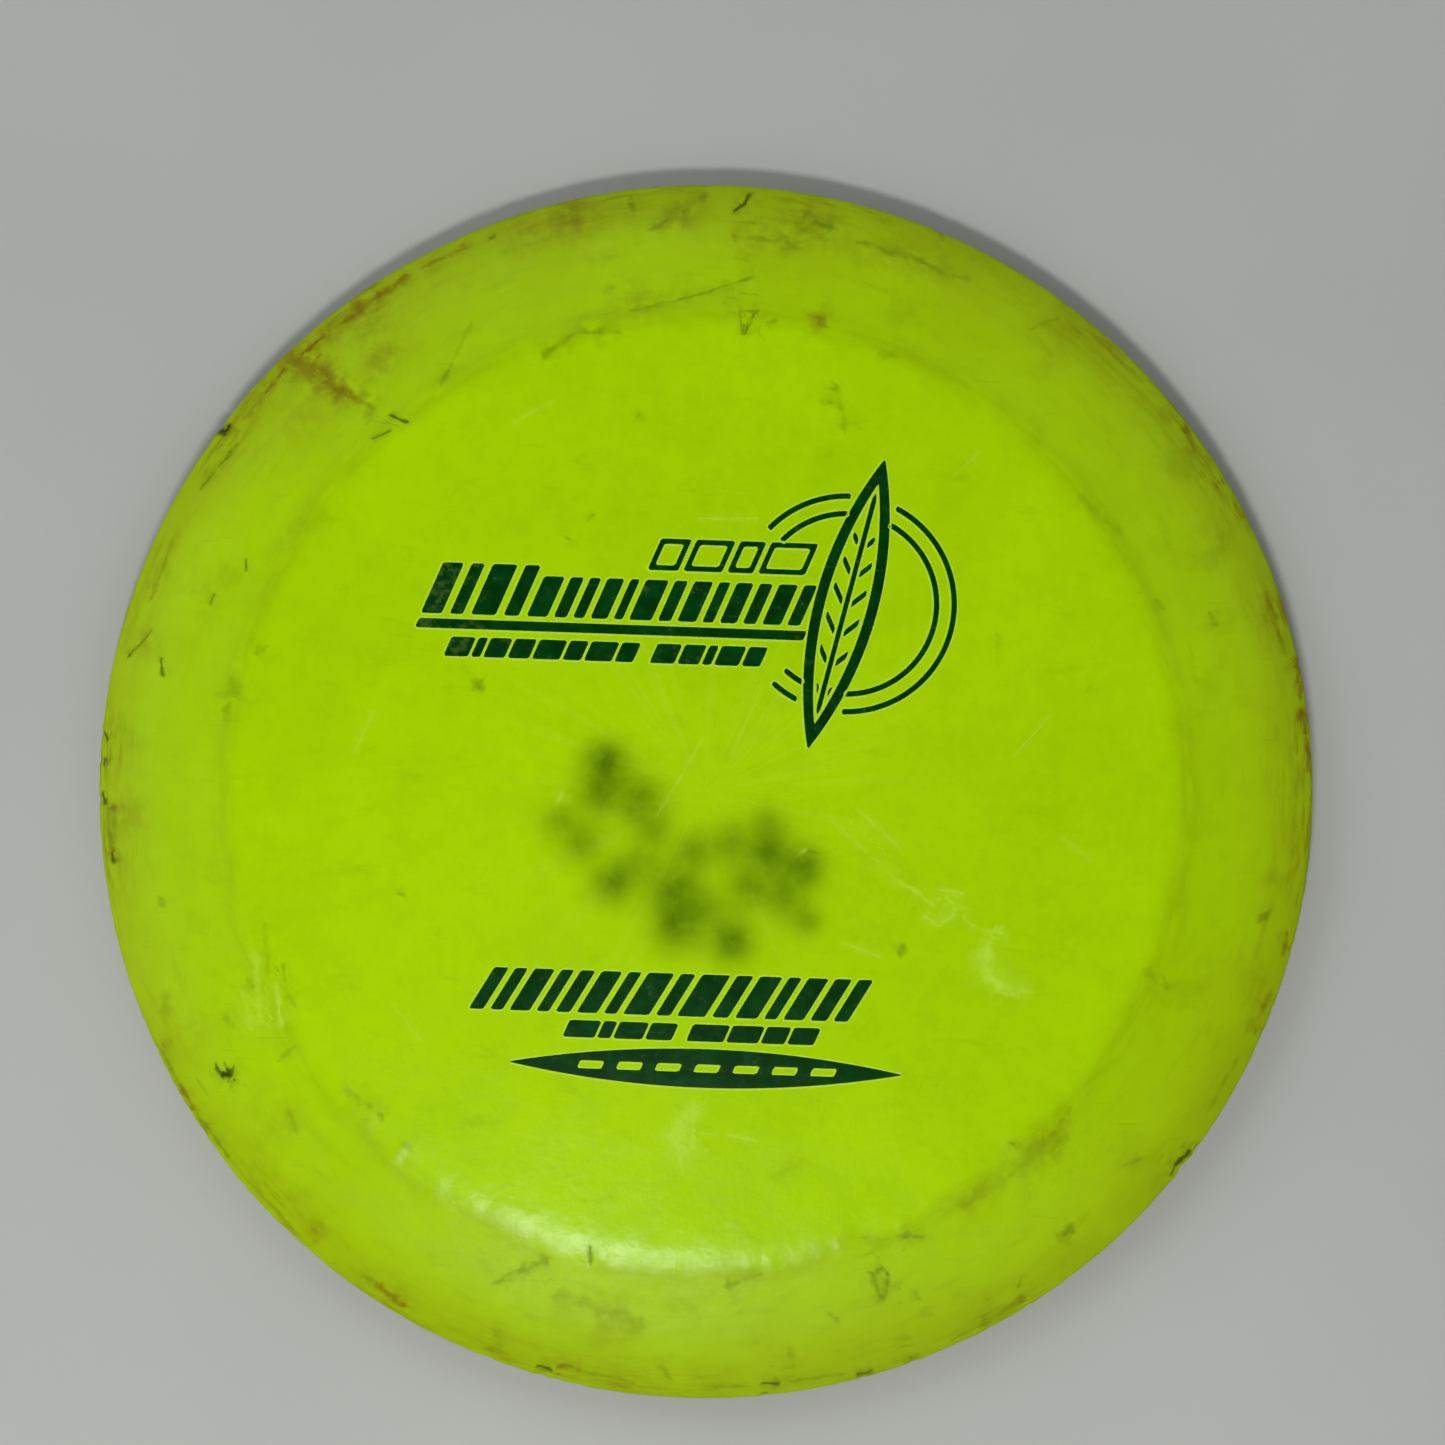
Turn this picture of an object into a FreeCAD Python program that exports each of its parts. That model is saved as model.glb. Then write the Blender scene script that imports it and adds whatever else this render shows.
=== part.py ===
"""Disc-golf distance driver: one moulded disc with hot-stamped foil islands on its flight plate.

Frame: millimetres, +Z up, origin on the disc's axis at the plane that the rim rests on.
+X runs along the lines of the stamp and +Y points from the disc's centre to the emblem.
"""

import FreeCAD, Part
import math
import os

import Sketcher
from FreeCAD import Vector

SHEET = "Sizes"

# Driving dimensions: millimetres and degrees.
DIMENSIONS = [
    ("disc_radius", 105.5, "half of the 211 mm diameter of a distance driver"),
    ("disc_height", 16.3, "rest plane to the top of the flight plate"),
    ("rim_depth", 11.8, "rest plane to the plate's underside beside the rim"),
    ("rim_width", 22.0, "nose to the inner rim wall"),
    ("plate_thickness", 1.8, "flight plate at its centre"),
    ("dome_rise", 2.3, "flight plate's centre above its edge"),
    ("plate_radius", 80.3, "axis to the shoulder where the wing starts"),
    ("shoulder_round", 36.0, "fillet between plate and wing"),
    ("wing_angle", 12.5, "straight part of the wing below the horizontal"),
    ("wing_end_radius", 93.0, "axis to the end of the wing's straight part"),
    ("nose_height", 5.2, "centre of the nose round above the rest plane"),
    ("nose_round", 1.5, "radius of the nose"),
    ("land_outer_radius", 88.5, "axis to the outer edge of the flat under the rim"),
    ("land_round", 9.0, "fillet between that flat and the under wing"),
    ("grip_round", 1.4, "fillet at the foot of the inner rim wall"),
    ("ceiling_round", 2.4, "fillet between inner rim wall and plate"),
    ("gate_radius", 6.0, "moulding gate mark under the plate"),
    ("gate_depth", 0.5, "how far the gate mark stands down"),
    ("foil_thickness", 0.1, "stamped film on top of the plate"),
    ("foil_margin_radius", 70.0, "no foil beyond this radius"),
    ("slant_angle", 68.0, "slant of the stamped blocks above the horizontal"),
    ("lower_slant", 60.0, "slant of the lower mark's large blocks"),
    ("block_gap", 1.1, "clear space between two large blocks"),
    ("emblem_x", 22.8, "centre of the emblem's rings"),
    ("emblem_y", 33.0, "centre of the emblem's rings"),
    ("ring_outer_radius", 18.8, "outer ring, outside edge"),
    ("ring_inner_radius", 15.8, "inner ring, outside edge"),
    ("ring_line", 0.9, "width of a ring's line"),
    ("ring_open_from", 138.0, "start of the rings' opening, round from +X"),
    ("ring_open_to", 229.0, "end of the rings' opening"),
    ("ring_clearance", 4.3, "degrees kept clear between a ring's end and the leaf"),
    ("leaf_half_length", 25.6, "emblem centre to a tip of the leaf"),
    ("leaf_half_width", 5.4, "leaf axis to its side"),
    ("leaf_line", 1.8, "width of the leaf's outline"),
    ("leaf_tilt", 77.0, "leaf axis above the horizontal"),
    ("rib_width", 0.8, "width of the midrib and the veins"),
    ("rib_half_length", 20.48, "leaf middle to an end of the midrib"),
    ("field_inset", 2.5, "leaf outline to the field that the veins fill"),
    ("first_vein", -16.12, "foot of the first pair of veins along the leaf axis"),
    ("vein_foot", 0.84, "leaf axis to the foot of a vein"),
    ("vein_pitch", 5.2, "step from one pair of veins to the next"),
    ("vein_angle", 38.0, "vein off the leaf axis"),
    ("title_left", -49.5, "left foot of the large line"),
    ("title_base", 29.0, "foot of the large line"),
    ("title_length", 65.6, "length of the large line"),
    ("title_height", 6.9, "height of a block of the large line"),
    ("capital_height", 8.7, "height of its tall blocks"),
    ("rule_left", -50.4, "left end of the long rule"),
    ("rule_right", 15.6, "right end of the long rule"),
    ("rule_base", 26.5, "lower edge of the long rule"),
    ("rule_height", 1.6, "height of the long rule"),
    ("outline_left", -11.2, "left foot of the outlined line"),
    ("outline_base", 37.6, "foot of the outlined line"),
    ("outline_length", 27.6, "length of the outlined line"),
    ("outline_height", 5.4, "height of an outlined block"),
    ("outline_line", 0.85, "width of the outlined blocks' line"),
    ("outline_gap", 0.88, "clear space between two outlined blocks"),
    ("caption_left", -45.4, "left foot of the small line"),
    ("caption_base", 21.8, "foot of the small line"),
    ("caption_length", 52.0, "length of the small line"),
    ("caption_height", 3.3, "height of the small line"),
    ("lower_left", -39.0, "left foot of the lower mark's large line"),
    ("lower_base", -38.0, "foot of the lower mark's large line"),
    ("lower_length", 65.6, "length of the lower mark's large line"),
    ("lower_height", 7.2, "height of the lower mark's large line"),
    ("lower_caption_left", -22.9, "left foot of the lower mark's small line"),
    ("lower_caption_base", -42.2, "foot of the lower mark's small line"),
    ("lower_caption_length", 45.2, "length of the lower mark's small line"),
    ("lower_caption_height", 2.9, "height of the lower mark's small line"),
    ("bar_half_length", 33.6, "middle of the tapered bar to its tip"),
    ("bar_x", 1.6, "middle of the tapered bar"),
    ("bar_y", -46.8, "middle line of the tapered bar"),
    ("bar_half_height", 3.3, "half of the bar's height at its middle"),
    ("slot_pitch", 6.6, "step from one slot in the bar to the next"),
    ("slot_length", 4.2, "length of a slot in the bar"),
    ("slot_height", 1.4, "height of a slot in the bar"),
]

SIZE = {name: value for name, value, meaning in DIMENSIONS}

# Blocks of each stamped line: the share of the line that each block takes, with its gap.
CAPITAL_SHARES = [0.075, 0.055, 0.085, 0.06]
TITLE_SHARES = [0.07, 0.05, 0.045, 0.06, 0.04, 0.075, 0.05, 0.065, 0.045, 0.06, 0.05, 0.065, 0.05]
OUTLINE_SHARES = [0.22, 0.27, 0.19, 0.32]
CAPTION_SHARES = [0.09, 0.04, 0.08, 0.08, 0.10, 0.07, 0.10, 0.07, 0, 0.09, 0.08, 0.04, 0.09, 0.07]
LOWER_SHARES = [0.055, 0.05, 0.07, 0.05, 0.055, 0.07, 0.05, 0.085,
                0.055, 0.09, 0.06, 0.075, 0.05, 0.07, 0.06, 0.055]
LOWER_CAPTION_SHARES = [0.13, 0.06, 0.12, 0.11, 0, 0.15, 0.13, 0.10, 0.11]
WORD_SPACE = 0.045
SLOTS_EACH_SIDE = 3
VEIN_PAIRS = 6

doc = FreeCAD.newDocument("distance_driver")


def make_sheet():
    """Put every driving dimension in the spreadsheet, with its name as the cell's alias."""
    sheet = doc.addObject("Spreadsheet::Sheet", SHEET)
    for row, (name, value, meaning) in enumerate(DIMENSIONS, start=1):
        sheet.set(f"A{row}", meaning)
        sheet.set(f"B{row}", str(value))
        sheet.setAlias(f"B{row}", name)
    doc.recompute()
    return sheet


def cell(name):
    """The expression that reads one dimension from the sheet."""
    return f"{SHEET}.{name}"


class Drawing:
    """A sketch whose dimensions are bound to the sheet.

    Each edge is drawn roughly in place first, and the constraints then give it its true size.
    """

    def __init__(self, sketch):
        self.sketch = sketch

    def line(self, start, end):
        return self.sketch.addGeometry(Part.LineSegment(Vector(*start, 0), Vector(*end, 0)), False)

    def arc(self, centre, radius, start_angle, end_angle):
        """An arc run anticlockwise, with its angles in degrees."""
        circle = Part.Circle(Vector(*centre, 0), Vector(0, 0, 1), radius)
        edge = Part.ArcOfCircle(circle, math.radians(start_angle), math.radians(end_angle))
        return self.sketch.addGeometry(edge, False)

    def fix(self, *parts):
        return self.sketch.addConstraint(Sketcher.Constraint(*parts))

    def bind(self, expression, *parts):
        """A dimension whose value follows an expression."""
        self.sketch.setExpression(f"Constraints[{self.fix(*parts)}]", expression)

    def join(self, first, second):
        """The end of one edge meets the start of the next."""
        self.fix("Coincident", first, 2, second, 1)

    def place(self, edge, point, across, up):
        """Set a point's distance from the vertical and from the horizontal axis."""
        self.bind(across, "DistanceX", -1, 1, edge, point, 1.0)
        self.bind(up, "DistanceY", -1, 1, edge, point, 1.0)

    def block(self, left, base, width, height, slant):
        """A parallelogram with level foot and top, from expressions for its sizes and its slant."""
        foot = self.line((0, 0), (5, 0))
        right = self.line((5, 0), (7, 5))
        top = self.line((7, 5), (2, 5))
        side = self.line((2, 5), (0, 0))
        for first, second in ((foot, right), (right, top), (top, side), (side, foot)):
            self.join(first, second)
        self.fix("Horizontal", foot)
        self.fix("Horizontal", top)
        self.fix("Parallel", side, right)
        self.bind(slant, "Angle", foot, 1, side, 2, math.radians(60))
        self.bind(width, "DistanceX", foot, 1, foot, 2, 5.0)
        self.bind(height, "DistanceY", right, 1, right, 2, 5.0)
        self.place(foot, 1, left, base)

    def lens(self, half_length, half_height, inset="0"):
        """Two equal arcs that meet at pointed tips on the horizontal axis."""
        tip = f"({half_length} - {inset} * {half_length} / {half_height} / 2)"
        rise = f"({half_height} - {inset})"
        upper = self.arc((0, -20), 30, 42, 138)
        lower = self.arc((0, 20), 30, 222, 318)
        self.join(upper, lower)
        self.join(lower, upper)
        self.fix("PointOnObject", upper, 3, -2)
        self.fix("Symmetric", upper, 1, upper, 2, -1, 1)
        self.bind(f"({tip} ^ 2 + {rise} ^ 2) / (2 * {rise})", "Radius", upper, 30.0)
        self.fix("Equal", upper, lower)
        self.bind(tip, "DistanceX", -1, 1, upper, 1, 20.0)


def plane(body, role):
    """One of a body's own origin planes."""
    return next(part for part in body.Origin.OriginFeatures if part.Role == role)


def profile_sketch(body, name):
    """A sketch on a body's upright plane, with radius across and height up."""
    sketch = body.newObject("Sketcher::SketchObject", name)
    sketch.AttachmentSupport = [(plane(body, "XZ_Plane"), "")]
    sketch.MapMode = "FlatFace"
    return sketch


def revolve(body, sketch):
    """Turn a profile once round the vertical axis."""
    turned = body.newObject("PartDesign::Revolution", sketch.Name + "_turned")
    turned.Profile = sketch
    turned.ReferenceAxis = (sketch, ["V_Axis"])
    turned.Angle = 360
    sketch.Visibility = False
    doc.recompute()
    return turned


def dome_arc(drawing, top, edge_radius):
    """The crown of the flight plate at a given height, from the axis out to a radius."""
    arc = drawing.arc((0, -1386), 1403, 87, 90)
    drawing.fix("PointOnObject", arc, 3, -2)
    drawing.fix("PointOnObject", arc, 2, -2)
    crown = f"({cell('plate_radius')} ^ 2 + {cell('dome_rise')} ^ 2) / (2 * {cell('dome_rise')})"
    drawing.bind(crown, "Radius", arc, 1403.0)
    drawing.bind(top, "DistanceY", -1, 1, arc, 2, 16.3)
    drawing.bind(edge_radius, "DistanceX", -1, 1, arc, 1, 80.0)
    return arc


def round_edge(body, base, radius, height, size, name):
    """Fillet the circular edge that lies at one radius and height."""
    for index, edge in enumerate(base.Shape.Edges, start=1):
        if edge.Degenerated or not isinstance(edge.Curve, Part.Circle):
            continue
        curve = edge.Curve
        if abs(curve.Radius - radius) < 0.01 and abs(curve.Center.z - height) < 0.01:
            fillet = body.newObject("PartDesign::Fillet", name)
            fillet.Base = (base, [f"Edge{index}"])
            fillet.setExpression("Radius", cell(size))
            doc.recompute()
            return fillet
    raise SystemExit(f"no edge for {name}")


def make_disc():
    """Plate, shoulder, wing, nose and rim as one turned body, with its fillets and gate mark."""
    body = doc.addObject("PartDesign::Body", "moulded_disc")
    body.Label = "moulded_disc"
    sketch = profile_sketch(body, "disc_profile")
    drawing = Drawing(sketch)
    wall_radius = f"{cell('disc_radius')} - {cell('rim_width')}"

    crown = dome_arc(drawing, cell("disc_height"), cell("plate_radius"))
    axis = drawing.line((0, 16.3), (0, 14.5))
    under = drawing.arc((0, -1200), 1214, 86, 90)
    wall = drawing.line((83.5, 12), (83.5, 0))
    land = drawing.line((83.5, 0), (88.5, 0))
    under_wing = drawing.line((88.5, 0), (104.4, 3.8))
    nose = drawing.arc((104, 5.2), 1.5, -76, 60)
    wing_bend = drawing.arc((84, -28), 40, 60, 77)
    wing = drawing.line((93, 11.2), (80.3, 14.0))

    drawing.join(crown, axis)
    drawing.fix("Vertical", axis)
    drawing.fix("Coincident", axis, 2, under, 2)
    drawing.fix("PointOnObject", under, 3, -2)
    drawing.bind(f"{cell('disc_height')} - {cell('plate_thickness')}", "DistanceY", -1, 1, axis, 2, 14.5)
    drawing.fix("Coincident", under, 1, wall, 1)
    drawing.place(wall, 1, wall_radius, cell("rim_depth"))
    drawing.fix("Vertical", wall)
    drawing.join(wall, land)
    drawing.fix("PointOnObject", land, 1, -1)
    drawing.fix("PointOnObject", land, 2, -1)
    drawing.bind(cell("land_outer_radius"), "DistanceX", -1, 1, land, 2, 88.5)
    drawing.join(land, under_wing)
    drawing.fix("Tangent", under_wing, 2, nose, 1)
    drawing.fix("Tangent", nose, 2, wing_bend, 1)
    drawing.fix("Tangent", wing_bend, 2, wing, 1)
    drawing.join(wing, crown)
    drawing.place(nose, 3, f"{cell('disc_radius')} - {cell('nose_round')}", cell("nose_height"))
    drawing.bind(cell("nose_round"), "Radius", nose, 1.5)
    drawing.bind(cell("wing_end_radius"), "DistanceX", -1, 1, wing, 1, 93.0)
    drawing.bind(f"-{cell('wing_angle')} * 1 deg", "Angle", -1, 1, wing, 2, math.radians(-12.5))
    solid = revolve(body, sketch)

    edge_height = SIZE["disc_height"] - SIZE["dome_rise"]
    inner = SIZE["disc_radius"] - SIZE["rim_width"]
    solid = round_edge(body, solid, SIZE["plate_radius"], edge_height, "shoulder_round", "shoulder_fillet")
    solid = round_edge(body, solid, inner, SIZE["rim_depth"], "ceiling_round", "ceiling_fillet")
    solid = round_edge(body, solid, SIZE["land_outer_radius"], 0, "land_round", "land_fillet")
    solid = round_edge(body, solid, inner, 0, "grip_round", "grip_fillet")

    gate = body.newObject("PartDesign::AdditiveCylinder", "gate_mark")
    gate.AttachmentSupport = [(plane(body, "XY_Plane"), "")]
    gate.MapMode = "FlatFace"
    gate.setExpression("Radius", cell("gate_radius"))
    gate.setExpression("Height", f"{cell('plate_thickness')} / 2 + {cell('gate_depth')}")
    gate.setExpression(
        "AttachmentOffset.Base.z",
        f"{cell('disc_height')} - {cell('plate_thickness')} - {cell('gate_depth')}",
    )
    doc.recompute()
    return body


def make_skin():
    """The thin layer over the flight plate that all the foil lies in."""
    body = doc.addObject("PartDesign::Body", "foil_layer")
    sketch = profile_sketch(body, "foil_layer_profile")
    drawing = Drawing(sketch)
    margin = cell("foil_margin_radius")
    low = dome_arc(drawing, cell("disc_height"), margin)
    high = dome_arc(drawing, f"{cell('disc_height')} + {cell('foil_thickness')}", margin)
    middle = drawing.line((0, 16.3), (0, 16.4))
    rim = drawing.line((70, 14.5), (70, 14.6))
    drawing.fix("Coincident", low, 2, middle, 1)
    drawing.fix("Coincident", high, 2, middle, 2)
    drawing.fix("Coincident", low, 1, rim, 1)
    drawing.fix("Coincident", high, 1, rim, 2)
    revolve(body, sketch)
    return body


def flat_sketch(name):
    """A sketch in the ground plane and the drawing that fills it."""
    sketch = doc.addObject("Sketcher::SketchObject", name + "_outline")
    return sketch, Drawing(sketch)


def raise_up(sketch):
    """Carry a flat outline straight up through the whole disc."""
    solid = doc.addObject("Part::Extrusion", sketch.Name + "_column")
    solid.Base = sketch
    solid.DirMode = "Custom"
    solid.Dir = Vector(0, 0, 1)
    solid.setExpression("LengthFwd", f"2 * {cell('disc_height')}")
    solid.Solid = True
    return solid


def overlap(name, first, second):
    common = doc.addObject("Part::Common", name)
    common.Base = first
    common.Tool = second
    return common


def foil(name, column, skin):
    """Keep the part of a column that lies in the foil layer: one node of foil islands."""
    film = overlap(name, column, skin)
    film.Label = name
    return film


def slant(angle="slant_angle"):
    return f"{cell(angle)} * 1 deg"


def add_blocks(drawing, line, shares, height, lean, start=0.0):
    """Slanted blocks, each a share of the line's length; a share of 0 is a word space."""
    length = cell(line + "_length")
    gap = f"{cell('block_gap')} * {cell(height)} / {cell('title_height')}"
    reached = start
    for share in shares:
        if share:
            left = f"{cell(line + '_left')} + {length} * {reached:.4f}"
            width = f"{length} * {share} - {gap}"
            drawing.block(left, cell(line + "_base"), width, cell(height), lean)
        reached += share or WORD_SPACE
    return reached


def make_blocks(skin):
    """The four lines of plain slanted blocks."""
    title, drawing = flat_sketch("title_block")
    reached = add_blocks(drawing, "title", CAPITAL_SHARES, "capital_height", slant())
    add_blocks(drawing, "title", TITLE_SHARES, "title_height", slant(), reached)
    caption, drawing = flat_sketch("caption_block")
    add_blocks(drawing, "caption", CAPTION_SHARES, "caption_height", slant())
    lower, drawing = flat_sketch("lower_block")
    add_blocks(drawing, "lower", LOWER_SHARES, "lower_height", slant("lower_slant"))
    small, drawing = flat_sketch("lower_caption")
    add_blocks(drawing, "lower_caption", LOWER_CAPTION_SHARES, "lower_caption_height", slant())
    outlines = {
        "title_block_foil": title,
        "caption_block_foil": caption,
        "lower_block_foil": lower,
        "lower_caption_foil": small,
    }
    return [foil(name, raise_up(outline), skin) for name, outline in outlines.items()]


def make_outline_blocks(skin):
    """Four hollow slanted blocks: each outline is inset by its line to make the hole."""
    sketch, drawing = flat_sketch("outline_block_foil")
    length = cell("outline_length")
    line = cell("outline_line")
    side = f"{line} / sin({slant()})"
    lean = f"{line} / tan({slant()})"
    reached = 0.0
    for share in OUTLINE_SHARES:
        left = f"{cell('outline_left')} + {length} * {reached:.4f}"
        width = f"{length} * {share} - {cell('outline_gap')}"
        base = cell("outline_base")
        drawing.block(left, base, width, cell("outline_height"), slant())
        drawing.block(
            f"{left} + {side} + {lean}",
            f"{base} + {line}",
            f"{width} - 2 * {side}",
            f"{cell('outline_height')} - 2 * {line}",
            slant(),
        )
        reached += share
    return foil("outline_block_foil", raise_up(sketch), skin)


def make_rule(skin):
    """The long rule, with ends slanted like the blocks."""
    sketch, drawing = flat_sketch("title_rule_foil")
    length = f"{cell('rule_right')} - {cell('rule_left')}"
    drawing.block(cell("rule_left"), cell("rule_base"), length, cell("rule_height"), slant())
    return foil("title_rule_foil", raise_up(sketch), skin)


def make_rings(skin):
    """Two concentric rings, open beside the large line and where the leaf crosses them."""
    sketch, drawing = flat_sketch("emblem_ring_foil")
    for radius in ("ring_outer_radius", "ring_inner_radius"):
        outside = SIZE[radius]
        inside = outside - SIZE["ring_line"]
        half_gap = math.degrees(SIZE["leaf_half_width"] / 2 / outside) + SIZE["ring_clearance"]
        top = SIZE["leaf_tilt"]
        upper_left = (top + half_gap, SIZE["ring_open_from"])
        lower_left = (SIZE["ring_open_to"], top + 180 - half_gap)
        right = (top - 180 + half_gap, top - half_gap)
        for start, end in (upper_left, lower_left, right):
            outer = drawing.arc((0, 0), outside, start, end)
            inner = drawing.arc((0, 0), inside, start, end)
            drawing.fix("Coincident", outer, 3, -1, 1)
            drawing.fix("Coincident", inner, 3, -1, 1)
            drawing.bind(cell(radius), "Radius", outer, outside)
            drawing.bind(f"{cell(radius)} - {cell('ring_line')}", "Radius", inner, inside)
            for point, angle in ((1, start), (2, end)):
                turn = Vector(math.cos(math.radians(angle)), math.sin(math.radians(angle)), 0)
                cap = drawing.line((turn * inside)[:2], (turn * outside)[:2])
                drawing.fix("Coincident", cap, 1, inner, point)
                drawing.fix("Coincident", cap, 2, outer, point)
                drawing.fix("PointOnObject", -1, 1, cap)
                drawing.fix("Angle", -1, 1, cap, 1, math.radians(angle))
    place_on_emblem(sketch)
    return foil("emblem_ring_foil", raise_up(sketch), skin)


def place_on_emblem(thing):
    thing.setExpression("Placement.Base.x", cell("emblem_x"))
    thing.setExpression("Placement.Base.y", cell("emblem_y"))


def make_leaf(skin):
    """A pointed leaf drawn along +X: hollow outline, slim midrib and pairs of veins."""
    outline, drawing = flat_sketch("leaf_edge")
    drawing.lens(cell("leaf_half_length"), cell("leaf_half_width"))
    drawing.lens(cell("leaf_half_length"), cell("leaf_half_width"), cell("leaf_line"))

    field, drawing = flat_sketch("leaf_field")
    drawing.lens(cell("leaf_half_length"), cell("leaf_half_width"), cell("field_inset"))

    veins, drawing = flat_sketch("leaf_veins")
    reach = cell("rib_half_length")
    drawing.block(f"-{reach}", f"-{cell('rib_width')} / 2", f"2 * {reach}", cell("rib_width"), "90 deg")
    vein_slant = f"{cell('vein_angle')} * 1 deg"
    for pair in range(VEIN_PAIRS):
        start = f"{cell('first_vein')} + {cell('vein_pitch')} * {pair}"
        width = f"{cell('rib_width')} / sin({vein_slant})"
        drawing.block(start, cell("vein_foot"), width, cell("leaf_half_width"), vein_slant)

    clipped = overlap("leaf_half", raise_up(veins), raise_up(field))
    mirrored = doc.addObject("Part::Mirroring", "leaf_other_half")
    mirrored.Source = clipped
    mirrored.Normal = Vector(0, 1, 0)
    halves = doc.addObject("Part::Fuse", "leaf_inside")
    halves.Base = clipped
    halves.Tool = mirrored
    leaf = doc.addObject("Part::Compound", "leaf_column")
    leaf.Links = [raise_up(outline), halves]
    place_on_emblem(leaf)
    leaf.setExpression("Placement.Rotation.Angle", f"{cell('leaf_tilt')} * 1 deg")
    return foil("emblem_leaf_foil", leaf, skin)


def make_lower_bar(skin):
    """A long lens under the lower mark, with a row of plain slots in it."""
    sketch, drawing = flat_sketch("lower_bar_foil")
    drawing.lens(cell("bar_half_length"), cell("bar_half_height"))
    for step in range(-SLOTS_EACH_SIDE, SLOTS_EACH_SIDE + 1):
        left = f"{cell('slot_pitch')} * {step} - {cell('slot_length')} / 2"
        base = f"-{cell('slot_height')} / 2"
        drawing.block(left, base, cell("slot_length"), cell("slot_height"), slant())
    sketch.setExpression("Placement.Base.x", cell("bar_x"))
    sketch.setExpression("Placement.Base.y", cell("bar_y"))
    return foil("lower_bar_foil", raise_up(sketch), skin)


def check_document():
    """Stop if any object of the document failed to rebuild."""
    doc.recompute()
    for part in doc.Objects:
        if "Invalid" in part.State or "Error" in part.State:
            raise SystemExit(f"{part.Name} failed: {part.State}")


def write_parts(nodes):
    """Write each node's solids to a file of its name."""
    os.makedirs("parts", exist_ok=True)
    for node in nodes:
        shape = node.Shape
        if shape.isNull() or not shape.isValid() or not shape.Solids:
            raise SystemExit(f"{node.Label} has no valid solid")
        shape.exportStep(f"parts/{node.Label}.step")
        print(f"{node.Label}: {len(shape.Solids)} solids, {shape.Volume:.1f} mm3")


make_sheet()
disc = make_disc()
layer = make_skin()
nodes = [disc, make_rings(layer), make_leaf(layer), make_rule(layer), make_outline_blocks(layer)]
nodes += make_blocks(layer)
nodes.append(make_lower_bar(layer))
check_document()
write_parts(nodes)
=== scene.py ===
import math

import bpy
import numpy as np
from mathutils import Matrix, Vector
from mathutils.geometry import delaunay_2d_cdt


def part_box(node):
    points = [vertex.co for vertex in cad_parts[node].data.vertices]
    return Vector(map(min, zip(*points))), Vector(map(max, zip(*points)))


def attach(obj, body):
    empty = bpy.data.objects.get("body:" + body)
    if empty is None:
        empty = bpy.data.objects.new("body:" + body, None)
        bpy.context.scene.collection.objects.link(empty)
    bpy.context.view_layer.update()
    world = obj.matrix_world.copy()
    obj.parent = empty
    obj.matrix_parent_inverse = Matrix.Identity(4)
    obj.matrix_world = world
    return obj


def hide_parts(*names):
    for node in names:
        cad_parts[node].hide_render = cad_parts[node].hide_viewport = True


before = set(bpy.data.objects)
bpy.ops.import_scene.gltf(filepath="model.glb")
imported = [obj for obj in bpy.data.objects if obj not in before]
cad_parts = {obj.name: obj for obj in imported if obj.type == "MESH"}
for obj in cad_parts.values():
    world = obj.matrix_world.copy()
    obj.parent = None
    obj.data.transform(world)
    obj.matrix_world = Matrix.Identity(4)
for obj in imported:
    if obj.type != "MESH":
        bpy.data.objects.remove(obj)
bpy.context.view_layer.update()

# Lengths in this script are millimetres until a mesh is made, where MM turns them into metres.
MM = 0.001
TURN = 2 * math.pi

# ---------------------------------------------------------------- the moulding's profile
DISC_RADIUS = round(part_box("moulded_disc")[1].x / MM, 1)
DISC_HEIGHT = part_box("moulded_disc")[1].z / MM
PLATE_RADIUS = 80.3
DOME_RISE = 2.3
DOME_CURVE = (PLATE_RADIUS ** 2 + DOME_RISE ** 2) / (2 * DOME_RISE)
SHOULDER_ROUND = 36.0
WING_ANGLE = math.radians(12.5)
WING_END = 93.0
NOSE_ROUND = 1.5
NOSE_HEIGHT = 5.2
LAND_OUTER = 88.5
LAND_ROUND = 9.0
WALL_RADIUS = DISC_RADIUS - 22.0
GRIP_ROUND = 1.4
CEILING_ROUND = 2.4
RIM_DEPTH = 11.8
PLATE_THICKNESS = 1.8
GATE_RADIUS = 6.0
GATE_DEPTH = 0.5

# ---------------------------------------------------------------- heights of the relief and the film
GOUGE_DEPTH = 0.16
GOUGE_LIP = 0.05
SCUFF_DEPTH = 0.03
NICK_LIP = 0.08
FILM_PROUD = 0.04
FILM_EDGE = 0.03
FILM_BELOW = 0.06
FLOOR_HALF = 4000.0
FLOOR_DROP = 0.02
# A scuff is followed out to this many half widths on either side.
SCUFF_REACH = 9.0

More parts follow.
